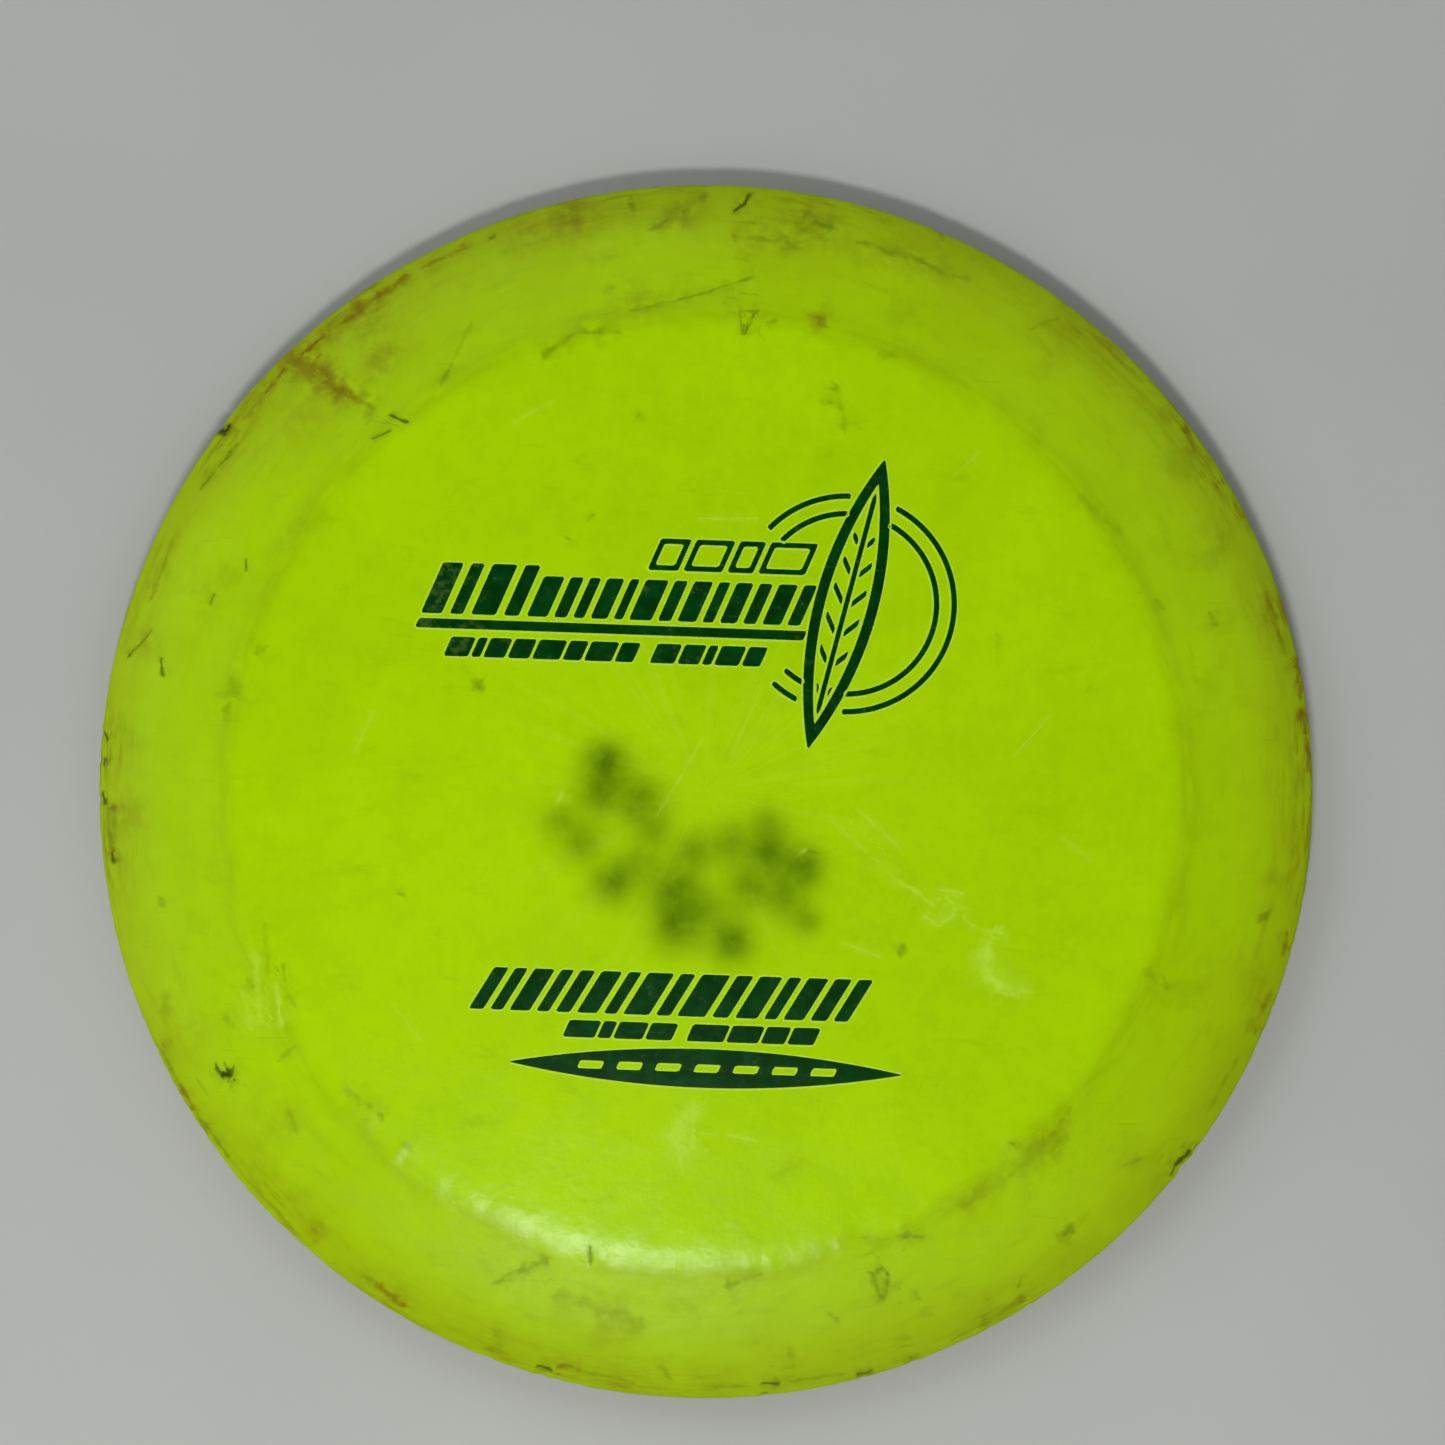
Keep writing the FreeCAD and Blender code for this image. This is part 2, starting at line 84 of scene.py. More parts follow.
# ---------------------------------------------------------------- wear, placed one by one
# Each scuff on the disc's top is its half width, its strength and the points it runs through.
# The gouges are painted near black: partly dirt in them and partly painted shade in their hollows, most of
# all in the notches at the nose.
GOUGES = [
    (0.6, 1.0, (-86.5, 60.5), (-86, 59)), (0.5, 1.0, (-85.5, 59), (-85, 60.5)),
    (0.7, 1.0, (-81.5, -51.5), (-80, -51.5)), (0.5, 0.8, (-82.5, -50), (-82, -51)),
    (0.5, 0.8, (-79.5, -50.5), (-80, -51.5)), (0.3, 0.9, (-100.5, 20), (-100, 21)),
    (0.5, 0.9, (83.5, -62), (84.5, -60.5), (86, -59.5)), (0.3, 0.7, (83, -63.5), (83.5, -62)),
    (0.42, 0.85, (1.5, 100.5), (3, 102), (4, 103.5)), (0.4, 0.8, (-25.5, -100.5), (-23.5, -101)),
    (0.35, 0.8, (13.5, -102), (16, -102)), (0.4, 0.7, (30, -100), (32, -99.5)),
    (0.35, 0.7, (36.5, 91.5), (37.5, 91)), (0.3, 0.8, (-56, 62.5), (-53, 61.5)),
    (0.22, 0.65, (-59, 58.5), (-56, 60)), (0.45, 0.8, (-102.5, -14), (-102, -15.5)),
    (0.35, 0.75, (-94.5, 19.5), (-94, 17)), (0.3, 0.7, (-80, 37), (-80, 35.5)),
    (0.35, 0.6, (-17, -78), (-17, -81)), (0.22, 0.6, (17, -9), (19.5, -9.5)),
    (0.35, 0.8, (-104.5, 6.5), (-104, 5.5)), (0.35, 0.8, (-104.5, 2), (-104.5, 1)),
    (0.4, 0.9, (-104.5, -4), (-104, -5.5)), (0.35, 0.6, (-40.5, 94.5), (-40, 95)),
    (0.3, 0.5, (-86, 29.5), (-85.5, 31)),
]
BROWN_SCUFFS = [
    (0.35, 0.85, (-72.5, 73.5), (-69, 76.5)), (0.35, 0.75, (-78.5, 66.5), (-75.5, 70.5)),
    (0.5, 0.4, (-82, 62), (-79, 66)), (0.4, 0.7, (-66, 79), (-62.5, 81)),
    (0.45, 0.8, (-62.5, 81.5), (-59.5, 84)), (0.4, 0.6, (-59, 84), (-55, 87.5)),
    (0.35, 0.5, (-52, 89), (-44, 93)), (0.8, 0.7, (-66, 67), (-63.5, 66)),
    (0.5, 0.5, (-63, 65.5), (-59.5, 64)), (1.3, 0.5, (-70, 70.5), (-67.5, 68)),
    (1.3, 0.3, (-60, 70), (-58, 73.5)), (1.2, 0.3, (-76, 74), (-70.5, 70)),
    (0.45, 0.7, (101.5, 26.5), (102.5, 20)), (0.45, 0.8, (103, 17.5), (103.5, 14)),
    (0.4, 0.7, (104, 12.5), (104.5, 7.5)), (0.5, 0.6, (-102.5, -6), (-102.5, -13.5)),
    (0.5, 0.45, (96, 37.5), (97.5, 33.5)), (0.9, 0.6, (15.5, 82), (17, 81)),
    (0.35, 0.5, (90, 53), (91.5, 51)), (0.6, 0.4, (77, 68.5), (78, 67.5)),
    (0.4, 0.55, (101.5, -21), (101, -24.5)), (0.4, 0.7, (-89.5, -54), (-86.5, -58.5)),
    (0.6, 0.7, (-54, -87.5), (-49.5, -90.5)), (0.45, 0.6, (-22, -100.5), (-20, -100), (-18.5, -101)),
    (0.3, 0.4, (-97, 30), (-93, 42)),
]
OLIVE_SCUFFS = [
    (0.28, 0.75, (-89, 49.5), (-86, 53.5), (-83, 57)), (0.45, 0.5, (-47.5, 68.5), (-46, 71.5)),
    (0.35, 0.22, (-46, 72), (-43, 79)), (0.6, 0.5, (-30, 73.5), (-27.5, 76), (-24.5, 78), (-18, 78)),
    (0.45, 0.4, (-15.5, 82), (-9, 83.5)), (0.25, 0.55, (-9, 83.5), (5, 88.5)),
    (0.22, 0.65, (3, 82.5), (6, 82.5)), (0.22, 0.6, (3, 82), (3.5, 78.5)),
    (0.3, 0.8, (5.5, 82.5), (4, 78.5)), (0.7, 0.55, (2, 95.5), (4, 95.5)), (0.45, 0.4, (4, 95.5), (9, 95)),
    (1.1, 0.5, (9.5, 95), (12, 94.5)), (0.6, 0.55, (14, 100.5), (16, 99)), (0.8, 0.6, (15, 99), (18, 98.5)),
    (0.6, 0.35, (12, 97), (14.5, 98.5)), (0.45, 0.5, (23, 95.5), (32, 93.5), (38, 91)),
    (0.5, 0.35, (37, 91), (42, 90)), (0.9, 0.3, (26, 95), (30, 94)), (0.5, 0.55, (-16.5, 102.5), (-16, 99)),
    (0.5, 0.55, (-12.5, 96.5), (-9.5, 99)), (0.9, 0.45, (-9.5, 99), (-4.5, 103)),
    (1.2, 0.22, (-30, 98.5), (-20, 100.5)), (1.0, 0.4, (-27, 99), (-24.5, 99.5)),
    (0.8, 0.35, (28, 76), (29.5, 76)), (0.9, 0.5, (18.5, 67.5), (20, 67.5)),
    (0.8, 0.35, (21, 66.5), (21.5, 63)), (0.4, 0.4, (19.5, 70.5), (20, 70)),
    (0.35, 0.35, (53, 81.5), (58, 84)), (0.8, 0.25, (62.5, 52.5), (65, 50)),
    (0.8, 0.22, (66.5, 49), (69, 47)), (0.4, 0.5, (81, 66), (82.5, 62)),
    (0.45, 0.5, (76, 35.5), (77, 34.5)), (0.5, 0.5, (85.5, 33.5), (86.5, 32)),
    (0.4, 0.45, (-21.5, 46), (-21, 46.5)), (0.35, 0.4, (-25, 42.5), (-24, 42)),
    (0.4, 0.45, (-14, 63.5), (-13.5, 64)), (0.7, 0.6, (-39.5, 17), (-39, 17.5)),
    (0.45, 0.5, (-51.5, -19), (-51, -19)), (0.4, 0.4, (64.5, 20), (65, 20.5)),
    (0.5, 0.2, (49, 28.5), (49, 24)), (0.2, 0.75, (-100, 20.5), (-96.5, 24.5)),
    (0.7, 0.4, (-77, 21.5), (-76, 22)), (1.5, 0.35, (-82.5, 14.5), (-81, 15)),
    (0.5, 0.4, (-82, 12), (-82.5, 10)), (0.6, 0.4, (-102.5, -7), (-102.5, -12.5)),
    (0.5, 0.35, (-93, -21.5), (-92.5, -22.5)), (0.5, 0.3, (-77, -34.5), (-76, -36)),
    (0.8, 0.32, (-81, -41.5), (-80, -42.5)), (0.35, 0.45, (-71, -32), (-70, -37.5)),
    (0.5, 0.35, (-70.5, -36), (-69, -38.5)), (0.5, 0.25, (-74.5, -25), (-73.5, -33)),
    (0.5, 0.4, (-71, -48), (-69, -46)), (0.8, 0.35, (-69.5, -57.5), (-68.5, -60)),
    (0.9, 0.3, (-59.5, -52.5), (-57, -55)), (0.7, 0.45, (-55.5, -55.5), (-53.5, -57)),
    (0.6, 0.3, (-49.5, -61.5), (-48, -62.5)), (0.8, 0.3, (-92, -38.5), (-91.5, -41)),
    (1.0, 0.5, (-32.5, -85), (-29, -83), (-25, -81)), (0.35, 0.55, (-32, -84.5), (-29.5, -83)),
    (0.7, 0.5, (7, -84), (9, -83.5)), (0.5, 0.35, (9, -83.5), (12, -82)),
    (0.4, 0.6, (31, -81), (33, -80.5)), (0.45, 0.65, (31.5, -81), (32, -83.5), (33, -85.5)),
    (0.4, 0.7, (34, -81), (34, -84), (33, -86)), (0.9, 0.3, (32.5, -82), (33, -84.5)),
    (0.4, 0.45, (24.5, -88.5), (26, -90)), (0.45, 0.6, (35.5, -74.5), (39.5, -74.5)),
    (0.4, 0.3, (29.5, -75), (34, -75)), (0.6, 0.4, (38.5, -84.5), (39.5, -85.5)),
    (0.6, 0.35, (40.5, -88), (41.5, -88.5)), (0.6, 0.3, (36.5, -93.5), (38, -93)),
    (1.0, 0.24, (55, -63.5), (60, -58.5), (63.5, -53.5)), (0.6, 0.35, (61, -57), (64, -52)),
    (0.7, 0.4, (60.5, -59), (63.5, -56.5)), (0.9, 0.25, (43.5, -69.5), (48, -68), (53, -65)),
    (0.5, 0.35, (46, -69), (50, -67)), (0.4, 0.4, (73.5, -62), (77, -60.5)),
    (0.35, 0.6, (54.5, -58), (55, -58.5)), (0.25, 0.5, (57, -83.5), (57.5, -81.5)),
    (0.7, 0.6, (96.5, -18.5), (97.5, -17.5)), (0.8, 0.3, (76.5, -28), (78, -29)),
    (0.4, 0.5, (79.5, -29), (80, -30.5)), (0.55, 0.5, (34, -26), (34.5, -25)),
    (0.9, 0.6, (64, -74), (65, -73)), (1.3, 0.14, (14.5, -64), (18, -62.5)),
    (0.35, 0.45, (8, 80.5), (9, 81)), (0.5, 0.3, (-20, 85), (-19, 86)),
    (1.2, 0.28, (-22, -87.5), (-15, -89), (-8.5, -91.5)), (0.9, 0.35, (-33, -94.5), (-32.5, -97)),
    (0.6, 0.35, (-5, -98.5), (-3, -101)), (0.7, 0.35, (18, -95.5), (18.5, -98)),
    (0.35, 0.5, (-92.5, -48.5), (-90, -53.5)), (0.35, 0.6, (-86.5, -59), (-80.5, -66)),
    (0.5, 0.5, (-56.5, -85.5), (-54.5, -87)), (0.4, 0.4, (-34.5, -97.5), (-31, -98.5)),
    (0.35, 0.4, (-18, -101), (-9, -102.5)), (0.35, 0.4, (3, -103), (11, -102.5)),
    (0.35, 0.35, (17, -101.5), (28, -100)), (0.4, 0.5, (38, -97.5), (40, -96.5)),
    (0.3, 0.35, (46, -93.5), (58, -86.5)), (0.35, 0.35, (89, -52), (93.5, -43)),
    (0.6, 0.35, (99, -32), (98, -34.5)), (0.5, 0.35, (96, -36), (95, -38)),
    (0.45, 0.5, (98, 31), (99.5, 27.5)),
]
# Pale scuffs: real scuffs, whose pale colour is partly a painted highlight of light caught on their burrs.
PALE_SCUFFS_AND_HIGHLIGHTS = [
    (0.45, 0.6, (51, -21.5), (49, -24)), (0.8, 0.85, (49, -24), (48, -27.5), (49.5, -30)),
    (0.75, 0.9, (49.5, -30), (52, -31.5)), (0.8, 0.6, (52, -31.5), (55.5, -32)),
    (0.3, 0.6, (34.5, -14.5), (37, -16)), (0.25, 0.8, (37.5, -19.5), (40, -21)),
    (0.3, 0.7, (41, -20.5), (43.5, -19)), (0.22, 0.7, (41.5, -16), (43, -18.5)),
    (0.2, 0.6, (44.5, -20), (47, -21.5)), (0.35, 0.5, (38, -17), (39.5, -18)),
    (0.2, 0.7, (40.5, -15), (44.5, -15.5)), (0.3, 0.4, (31.5, -12.5), (33.5, -14)),
    (0.5, 0.35, (42.5, -17.5), (45, -18)), (0.2, 0.5, (48, -21.5), (49.5, -22.5)),
    (0.3, 0.25, (21.5, -4), (30, -11), (34, -14)), (1.3, 0.6, (-2.5, -56.5), (-2, -62.5)),
    (1.0, 0.55, (-0.5, -54), (-0.5, -61.5)), (0.2, 0.6, (-2.5, 46.5), (7, 47)),
    (0.2, 0.35, (1, -58), (4, -58)), (0.2, 0.45, (6, -58), (11, -59)), (0.35, 0.6, (-25, -2), (-24.5, -1)),
    (0.35, 0.6, (16.5, -9.5), (17.5, -9)), (0.55, 0.4, (-76, -30.5), (-75, -42)),
    (0.3, 0.75, (-72, -35.5), (-71, -42.5)), (0.4, 0.3, (-78, -37), (-76.5, -43)),
    (0.2, 0.4, (26, -2), (33, -8)), (0.18, 0.45, (24, -24.5), (31, -27)), (0.15, 0.35, (-60, 5), (-57, 12)),
    (0.15, 0.35, (52, 8), (58, 15)), (0.15, 0.3, (40, 55), (45, 60)), (0.15, 0.35, (-35, 62), (-28, 66)),
    (0.15, 0.3, (60, -5), (66, -9)), (0.15, 0.3, (-52, -38), (-47, -44)), (0.15, 0.35, (-8, -4), (-1, 9)),
    (0.15, 0.3, (4, 6), (9, 19)), (0.15, 0.3, (-28, -30), (-20, -33)),
]
# Where each kind of scuff stands on the ramp of scuff colours.
PALE_AND_HIGHLIGHT_TONE, OLIVE_TONE, BROWN_TONE, DIRT_AND_SHADE_TONE = 0.0, 0.35, 0.65, 1.0
# Each kind's places, its tone, and what its half widths and its strengths are multiplied by.
SCUFF_KINDS = [
    (OLIVE_SCUFFS, OLIVE_TONE, 1.3, 1.1),
    (PALE_SCUFFS_AND_HIGHLIGHTS, PALE_AND_HIGHLIGHT_TONE, 1.5, 0.75),
    (BROWN_SCUFFS, BROWN_TONE, 1.5, 1.25),
    (GOUGES, DIRT_AND_SHADE_TONE, 1.1, 1.0),
]
# Soft stains and blots of marker ink: x, y, radius and strength.
BROWN_STAINS = [
    (-68.5, 69, 2.6, 1.0), (-64.5, 66.6, 2.4, 0.9), (-60, 64.2, 1.8, 0.7), (-73.5, 71.8, 3.4, 0.75),
    (-67.8, 77.4, 2.2, 0.6), (-63.2, 81.8, 1.6, 0.9), (-59.8, 83.4, 1.5, 0.8), (-55.3, 86.7, 1.5, 0.5),
    (-26, 99, 1.8, 0.5), (-64.5, -78, 1.5, 0.6), (16.1, 81.7, 1.2, 0.7), (101.6, 25.5, 1.3, 0.9),
    (102.9, 17.1, 1.2, 0.8), (-102.4, -6.5, 1.2, 0.6), (-102, -14.8, 1.2, 0.7), (-71, 62, 4.5, 0.25),
    (-58, 74, 6.0, 0.22), (-8, 99, 3.5, 0.5), (98, -12, 2.0, 0.3), (-97, 22, 2.5, 0.3),
    (-27, 98, 5.0, 0.4), (-36, 95, 4.0, 0.3), (14, 98, 4.5, 0.4), (5, 95, 4.0, 0.3), (30, 94, 4.0, 0.25),
    (-15, 84, 4.0, 0.2), (60, 82, 4.0, 0.2), (88, 48, 3.5, 0.25), (-88, -44, 3.5, 0.25), (-72, -58, 5.0, 0.2),
    (-12, -91, 4.5, 0.25), (48, -68, 4.0, 0.25), (60, -57, 4.0, 0.25), (96, -30, 3.0, 0.3),
    (-98, -8, 3.0, 0.3),
]
INK_BLOTS = [
    (-17, 4.6, 3.9, 0.90), (-17.6, -0.4, 4.4, 0.72), (-11, -1.6, 4.2, 0.75), (-24.5, -5.6, 3.4, 0.5),
    (-20.6, -9.4, 3.6, 0.6), (-15, -15.6, 3.8, 0.8), (-10.6, -11.8, 3.6, 0.5), (-4.6, -16.4, 4.6, 0.8),
    (-4.2, -22.4, 4.4, 0.85), (-1.5, -9.8, 3.6, 0.6), (4.6, -8.4, 3.8, 0.6), (11, -9.8, 4.0, 0.85),
    (17, -12, 3.8, 0.85), (10.6, -4.8, 3.0, 0.5), (8, -15.6, 3.6, 0.7), (5.2, -24.8, 4.0, 0.85),
    (14, -17, 3.8, 0.65), (17.8, -21, 2.8, 0.55), (0.6, -19.6, 4.0, 0.5), (-8.6, -6.4, 3.0, 0.5),
]
# Nicks in the nose: direction from +X in degrees, half width along the edge and depth.
NOSE_NICKS = [
    (145, 0.9, 0.5), (176.5, 0.7, 0.4), (179, 0.6, 0.35), (182.8, 0.6, 0.35), (256.2, 0.7, 0.4),
    (257.8, 0.6, 0.4), (277.6, 0.7, 0.35), (286.8, 0.6, 0.35), (292, 0.7, 0.4), (251, 0.6, 0.35),
    (323.6, 1.0, 0.45), (326, 0.9, 0.35), (14, 0.6, 0.3), (9, 0.8, 0.3), (6, 0.6, 0.25), (347, 0.7, 0.3),
    (341, 0.6, 0.3), (338.5, 0.8, 0.35), (116, 0.6, 0.25), (92, 0.8, 0.3), (69, 0.6, 0.25), (39, 0.7, 0.35),
    (33, 0.6, 0.3), (207, 0.8, 0.4), (216, 1.0, 0.4), (231, 0.7, 0.3), (304, 0.6, 0.3), (300, 0.8, 0.3),
]

# ---------------------------------------------------------------- view and finish
STAMP_ROLL = math.radians(2.0)
EYE = (0.00244, 0.0121, 0.455)
EYE_LENS = 64.4

LIME = (0.405, 0.685, 0.0004, 1)
LIME_DEEP = (0.330, 0.585, 0.0003, 1)
LIME_WORN = (0.335, 0.500, 0.0002, 1)
# Paler lime: the real flow streaks, and a painted highlight on scuff burrs and on the stamp's lip.
LIME_PALE_AND_HIGHLIGHT = (0.520, 0.780, 0.060, 1)
# Near black of the gouges: dirt, and painted shade in their hollows.
DIRT_AND_SHADE = (0.030, 0.038, 0.002, 1)
OLIVE = (0.130, 0.180, 0.0005, 1)
BROWN = (0.185, 0.125, 0.0003, 1)
INK = (0.080, 0.165, 0.0008, 1)
FOIL_GREEN = (0.0004, 0.030, 0.0015, 1)
FOIL_LIGHT = (0.0010, 0.052, 0.0060, 1)
FOIL_WORN = (0.050, 0.110, 0.016, 1)
FLOOR_PALE = (0.447, 0.457, 0.430, 1)
FLOOR_CLOUD = (0.425, 0.435, 0.410, 1)


# ================================================================ shader arithmetic
class Shade:
    """A socket of a node tree. Arithmetic on it adds Math nodes, and add() makes any other node."""

    def __init__(self, tree, socket=None):
        self.tree = tree
        self.socket = socket

    def add(self, kind, settings=None, inputs=None, out=0):
        """Make a node: its settings first, with a ramp's stops, then its sockets' values or links."""
        node = self.tree.nodes.new(kind)
        for name, value in (settings or {}).items():
            if name != "stops":
                setattr(node, name, value)
                continue
            ramp = node.color_ramp.elements
            while len(ramp) < len(value):
                ramp.new(0.5)
            for element, (place, colour) in zip(ramp, value):
                element.position = place
                element.color = colour
        for name, value in (inputs or {}).items():
            if isinstance(value, Shade):
                self.tree.links.new(value.socket, node.inputs[name])
            else:
                node.inputs[name].default_value = value
        return Shade(self.tree, node.outputs[out])

    def math(self, operation, first, second=0.0):
        return self.add("ShaderNodeMath", {"operation": operation}, {0: first, 1: second})

    def __add__(self, other):
        return self.math("ADD", self, other)

    def __sub__(self, other):
        return self.math("SUBTRACT", self, other)

    def __rsub__(self, other):
        return self.math("SUBTRACT", other, self)

    def __mul__(self, other):
        return self.math("MULTIPLY", self, other)

    def __abs__(self):
        return self.math("ABSOLUTE", self)

    __radd__ = __add__
    __rmul__ = __mul__

    def larger(self, other):
        return self.math("MAXIMUM", self, other)

    def rise(self, low, high):
        """0 below low, 1 above high, and smooth between; high may be the lower one, to fall."""
        settings = {"interpolation_type": "SMOOTHSTEP"}
        if low < high:
            return self.add("ShaderNodeMapRange", settings, {0: self, 1: low, 2: high})
        return 1 - self.add("ShaderNodeMapRange", settings, {0: self, 1: high, 2: low})

    def blend(self, first, second):
        """The first colour where this is 0 and the second where it is 1."""
        settings = {"data_type": "RGBA", "clamp_factor": True}
        return self.add("ShaderNodeMix", settings, {0: self, 6: first, 7: second}, 2)

    def stretch(self, scale, turn=0.0):
        """Object coordinates turned about the axis and scaled."""
        return self.add("ShaderNodeMapping", None, {0: self, 2: (0, 0, turn), 3: scale})

    def flat(self):
        """The coordinates without their height."""
        return self.add("ShaderNodeVectorMath", {"operation": "MULTIPLY"}, {0: self, 1: (1, 1, 0)})

    def radius(self):
        """Distance from the axis, in metres."""
        return self.add("ShaderNodeVectorMath", {"operation": "LENGTH"}, {0: self.flat()}, 1)

    def around(self, turning, outward):
        """Coordinates wound round the axis: turning waves a radian, outward waves a metre, no seam."""
        unit = self.add("ShaderNodeVectorMath", {"operation": "NORMALIZE"}, {0: self.flat()})
        ring = self.add("ShaderNodeVectorMath", {"operation": "SCALE"}, {0: unit, "Scale": float(turning)})
        rise = self.add("ShaderNodeCombineXYZ", None, {2: self.radius() * outward})
        return self.add("ShaderNodeVectorMath", {"operation": "ADD"}, {0: ring, 1: rise})

    def noise(self, scale, detail=2.0, rough=0.5):
        """Fractal noise at these coordinates; scale is in waves a metre."""
        inputs = {"Vector": self, "Scale": scale, "Detail": detail, "Roughness": rough}
        return self.add("ShaderNodeTexNoise", None, inputs)

    def cells(self, scale):
        """Distance to the nearest of many scattered points; scale is in cells a metre."""
        return self.add("ShaderNodeTexVoronoi", {"feature": "F1"}, {"Vector": self, "Scale": scale})

    def attribute(self, name):
        """A number stored at each point of the mesh."""
        return self.add("ShaderNodeAttribute", {"attribute_name": name}, None, 2)


def new_material(name, base, roughness, normal=None, **constants):
    """A material whose varying values are links and whose constants sit on the shader's sockets."""
    material = bpy.data.materials.new(name)
    material.use_nodes = True
    tree = material.node_tree
    shader = next(node for node in tree.nodes if node.type == "BSDF_PRINCIPLED")
    start = Shade(tree)
    place = start.add("ShaderNodeTexCoord", None, None, 3)
    for socket, recipe in (("Base Color", base), ("Roughness", roughness)):
        value = recipe(place) if callable(recipe) else recipe
        if isinstance(value, Shade):
            tree.links.new(value.socket, shader.inputs[socket])
        else:
            shader.inputs[socket].default_value = value
    if normal is not None:
        height, distance = normal(place)
        bump = start.add("ShaderNodeBump", None, {"Strength": 1.0, "Distance": distance, "Height": height})
        tree.links.new(bump.socket, shader.inputs["Normal"])
    for socket, value in constants.items():
        shader.inputs[socket.replace("_", " ")].default_value = value
    return material


# ================================================================ finishes
def scuff_core(place):
    """How strongly a placed scuff shows: its line across, broken up by fine noise."""
    across = abs(place.attribute("scuff_across") + place.noise(230, 2.0, 0.5) * 2.4 - 1.2)
    ragged = place.noise(800, 4.0, 0.7) * 2.0
    patchy = place.noise(420, 3.0, 0.6).rise(0.34, 0.58) * 0.6 + 0.4
    gouged = place.attribute("scuff_tone").rise(0.8, 0.95)
    line = (across + ragged).rise(3.1, 1.0) * patchy.larger(gouged)
    haze = across.rise(7.0, 1.5) * place.noise(300, 3.0, 0.6).rise(0.38, 0.64) * 0.32
    return line.larger(haze) * place.attribute("scuff_near")


def lime_colour(place):
    """Lime urethane, worn outwards from a darker olive ring at the plate's edge, with scuffs, stain and ink;
    the wear is weaker on the left side, which paints that side lighter as painted light.
    """
    wear = place.attribute("wear")
    cloudy = place.noise(28, 5.0, 0.62).rise(0.36, 0.66)
    mottled = place.noise(240, 5.0, 0.70).rise(0.40, 0.68)
    base = (cloudy * 0.42 + mottled * 0.34).blend(LIME, LIME_DEEP)
    scuffed = place.stretch((90, 260, 90), 0.9).noise(1, 5.0, 0.7).rise(0.56, 0.76)
    base = (scuffed * 0.13).blend(base, OLIVE)
    # The wear mask is lighter on the left side, and that part is painted light.
    base = (wear * (place.noise(60, 3.0, 0.6).rise(0.25, 0.70) * 0.45 + 0.65)).blend(base, LIME_WORN)
    swept = place.around(9, 420).noise(1, 4.0, 0.65).rise(0.50, 0.80)
    base = (swept * (wear * 0.22 + 0.03)).blend(base, OLIVE)
    blotchy = place.noise(75, 5.0, 0.65).rise(0.52, 0.74)
    base = (blotchy * (wear * 0.26 + 0.04)).blend(base, OLIVE)
    base = (place.radius().rise(0.096, 0.1045) * 0.16).blend(base, BROWN)
    # A darker olive ring round the plate's edge, between 79.5 and 85.5 mm from the axis.
    crease = place.radius().rise(0.0795, 0.0822) * place.radius().rise(0.0855, 0.0828)
    base = (crease * place.around(7, 500).noise(1, 3.0, 0.6).rise(0.34, 0.66) * 0.16).blend(base, OLIVE)
    hairs = place.stretch((60, 1100, 200), -0.7).noise(1, 3.0, 0.7).rise(0.62, 0.78)
    base = (hairs * (wear * 0.27 + 0.04)).blend(base, OLIVE)
    flow = place.around(16, 22).noise(1, 3.0, 0.55).rise(0.42, 0.66) * place.radius().rise(0.050, 0.015)
    base = (flow * 0.08).blend(base, LIME_PALE_AND_HIGHLIGHT)
    ink = place.attribute("ink") * (place.noise(330, 3.0, 0.6).rise(0.15, 0.62) * 0.28 + 0.78)
    base = ink.blend(base, INK)
    stain = place.attribute("stain") * place.noise(300, 4.0, 0.7).rise(0.28, 0.62)
    base = stain.blend(base, BROWN)
    # Brown grime along the nose, and painted shade in the nose's nicks.
    grime = place.attribute("grime") * place.around(14, 900).noise(1, 4.0, 0.7).rise(0.42, 0.66)
    base = grime.blend(base, BROWN)
    # The pale stop is partly a painted highlight on scuff burrs, and the darkest stop is partly painted shade
    # in the gouges.
    stops = [(PALE_AND_HIGHLIGHT_TONE, LIME_PALE_AND_HIGHLIGHT), (OLIVE_TONE, OLIVE), (BROWN_TONE, BROWN), (DIRT_AND_SHADE_TONE, DIRT_AND_SHADE)]
    tone = place.add("ShaderNodeValToRGB", {"stops": stops}, {0: place.attribute("scuff_tone")})
    return scuff_core(place).blend(base, tone)


def lime_roughness(place):
    """Satin where it is whole, duller in scuffs and where the wing is worn."""
    wear = place.attribute("wear")
    worn = place.noise(120, 4.0, 0.6).rise(0.35, 0.70) * (wear * 0.08 + 0.05)
    return worn + wear * wear * 0.28 + scuff_core(place) * 0.2 + 0.19


def lime_relief(place):
    """Lumps, fine moulded grain, hairline scratches and the placed scuffs' furrows."""
    lumps = place.noise(150, 3.0, 0.55) * 1.4
    dents = place.noise(380, 3.0, 0.55) * 0.8
    grain = place.noise(1100, 3.0, 0.6) * 0.22
    hair = None
    for turn, across in ((0.4, 650), (1.5, 520), (2.5, 760)):
        line = place.stretch((across, 22, 60), turn).noise(1, 2.0, 0.6).rise(0.66, 0.78)
        hair = line if hair is None else hair + line
    height = lumps + dents + grain - hair * (place.attribute("wear") * 0.22 + 0.10) - scuff_core(place) * 0.8
    return height, 0.00006


def lip_highlight_colour(place):
    """The lip that the stamp presses up round its foil is the same plastic, painted paler as a painted
    highlight where its raised edge catches the light.
    """
    return (place.noise(700, 3.0, 0.6).rise(0.35, 0.65) * 0.45 + 0.10).blend(LIME, LIME_PALE_AND_HIGHLIGHT)


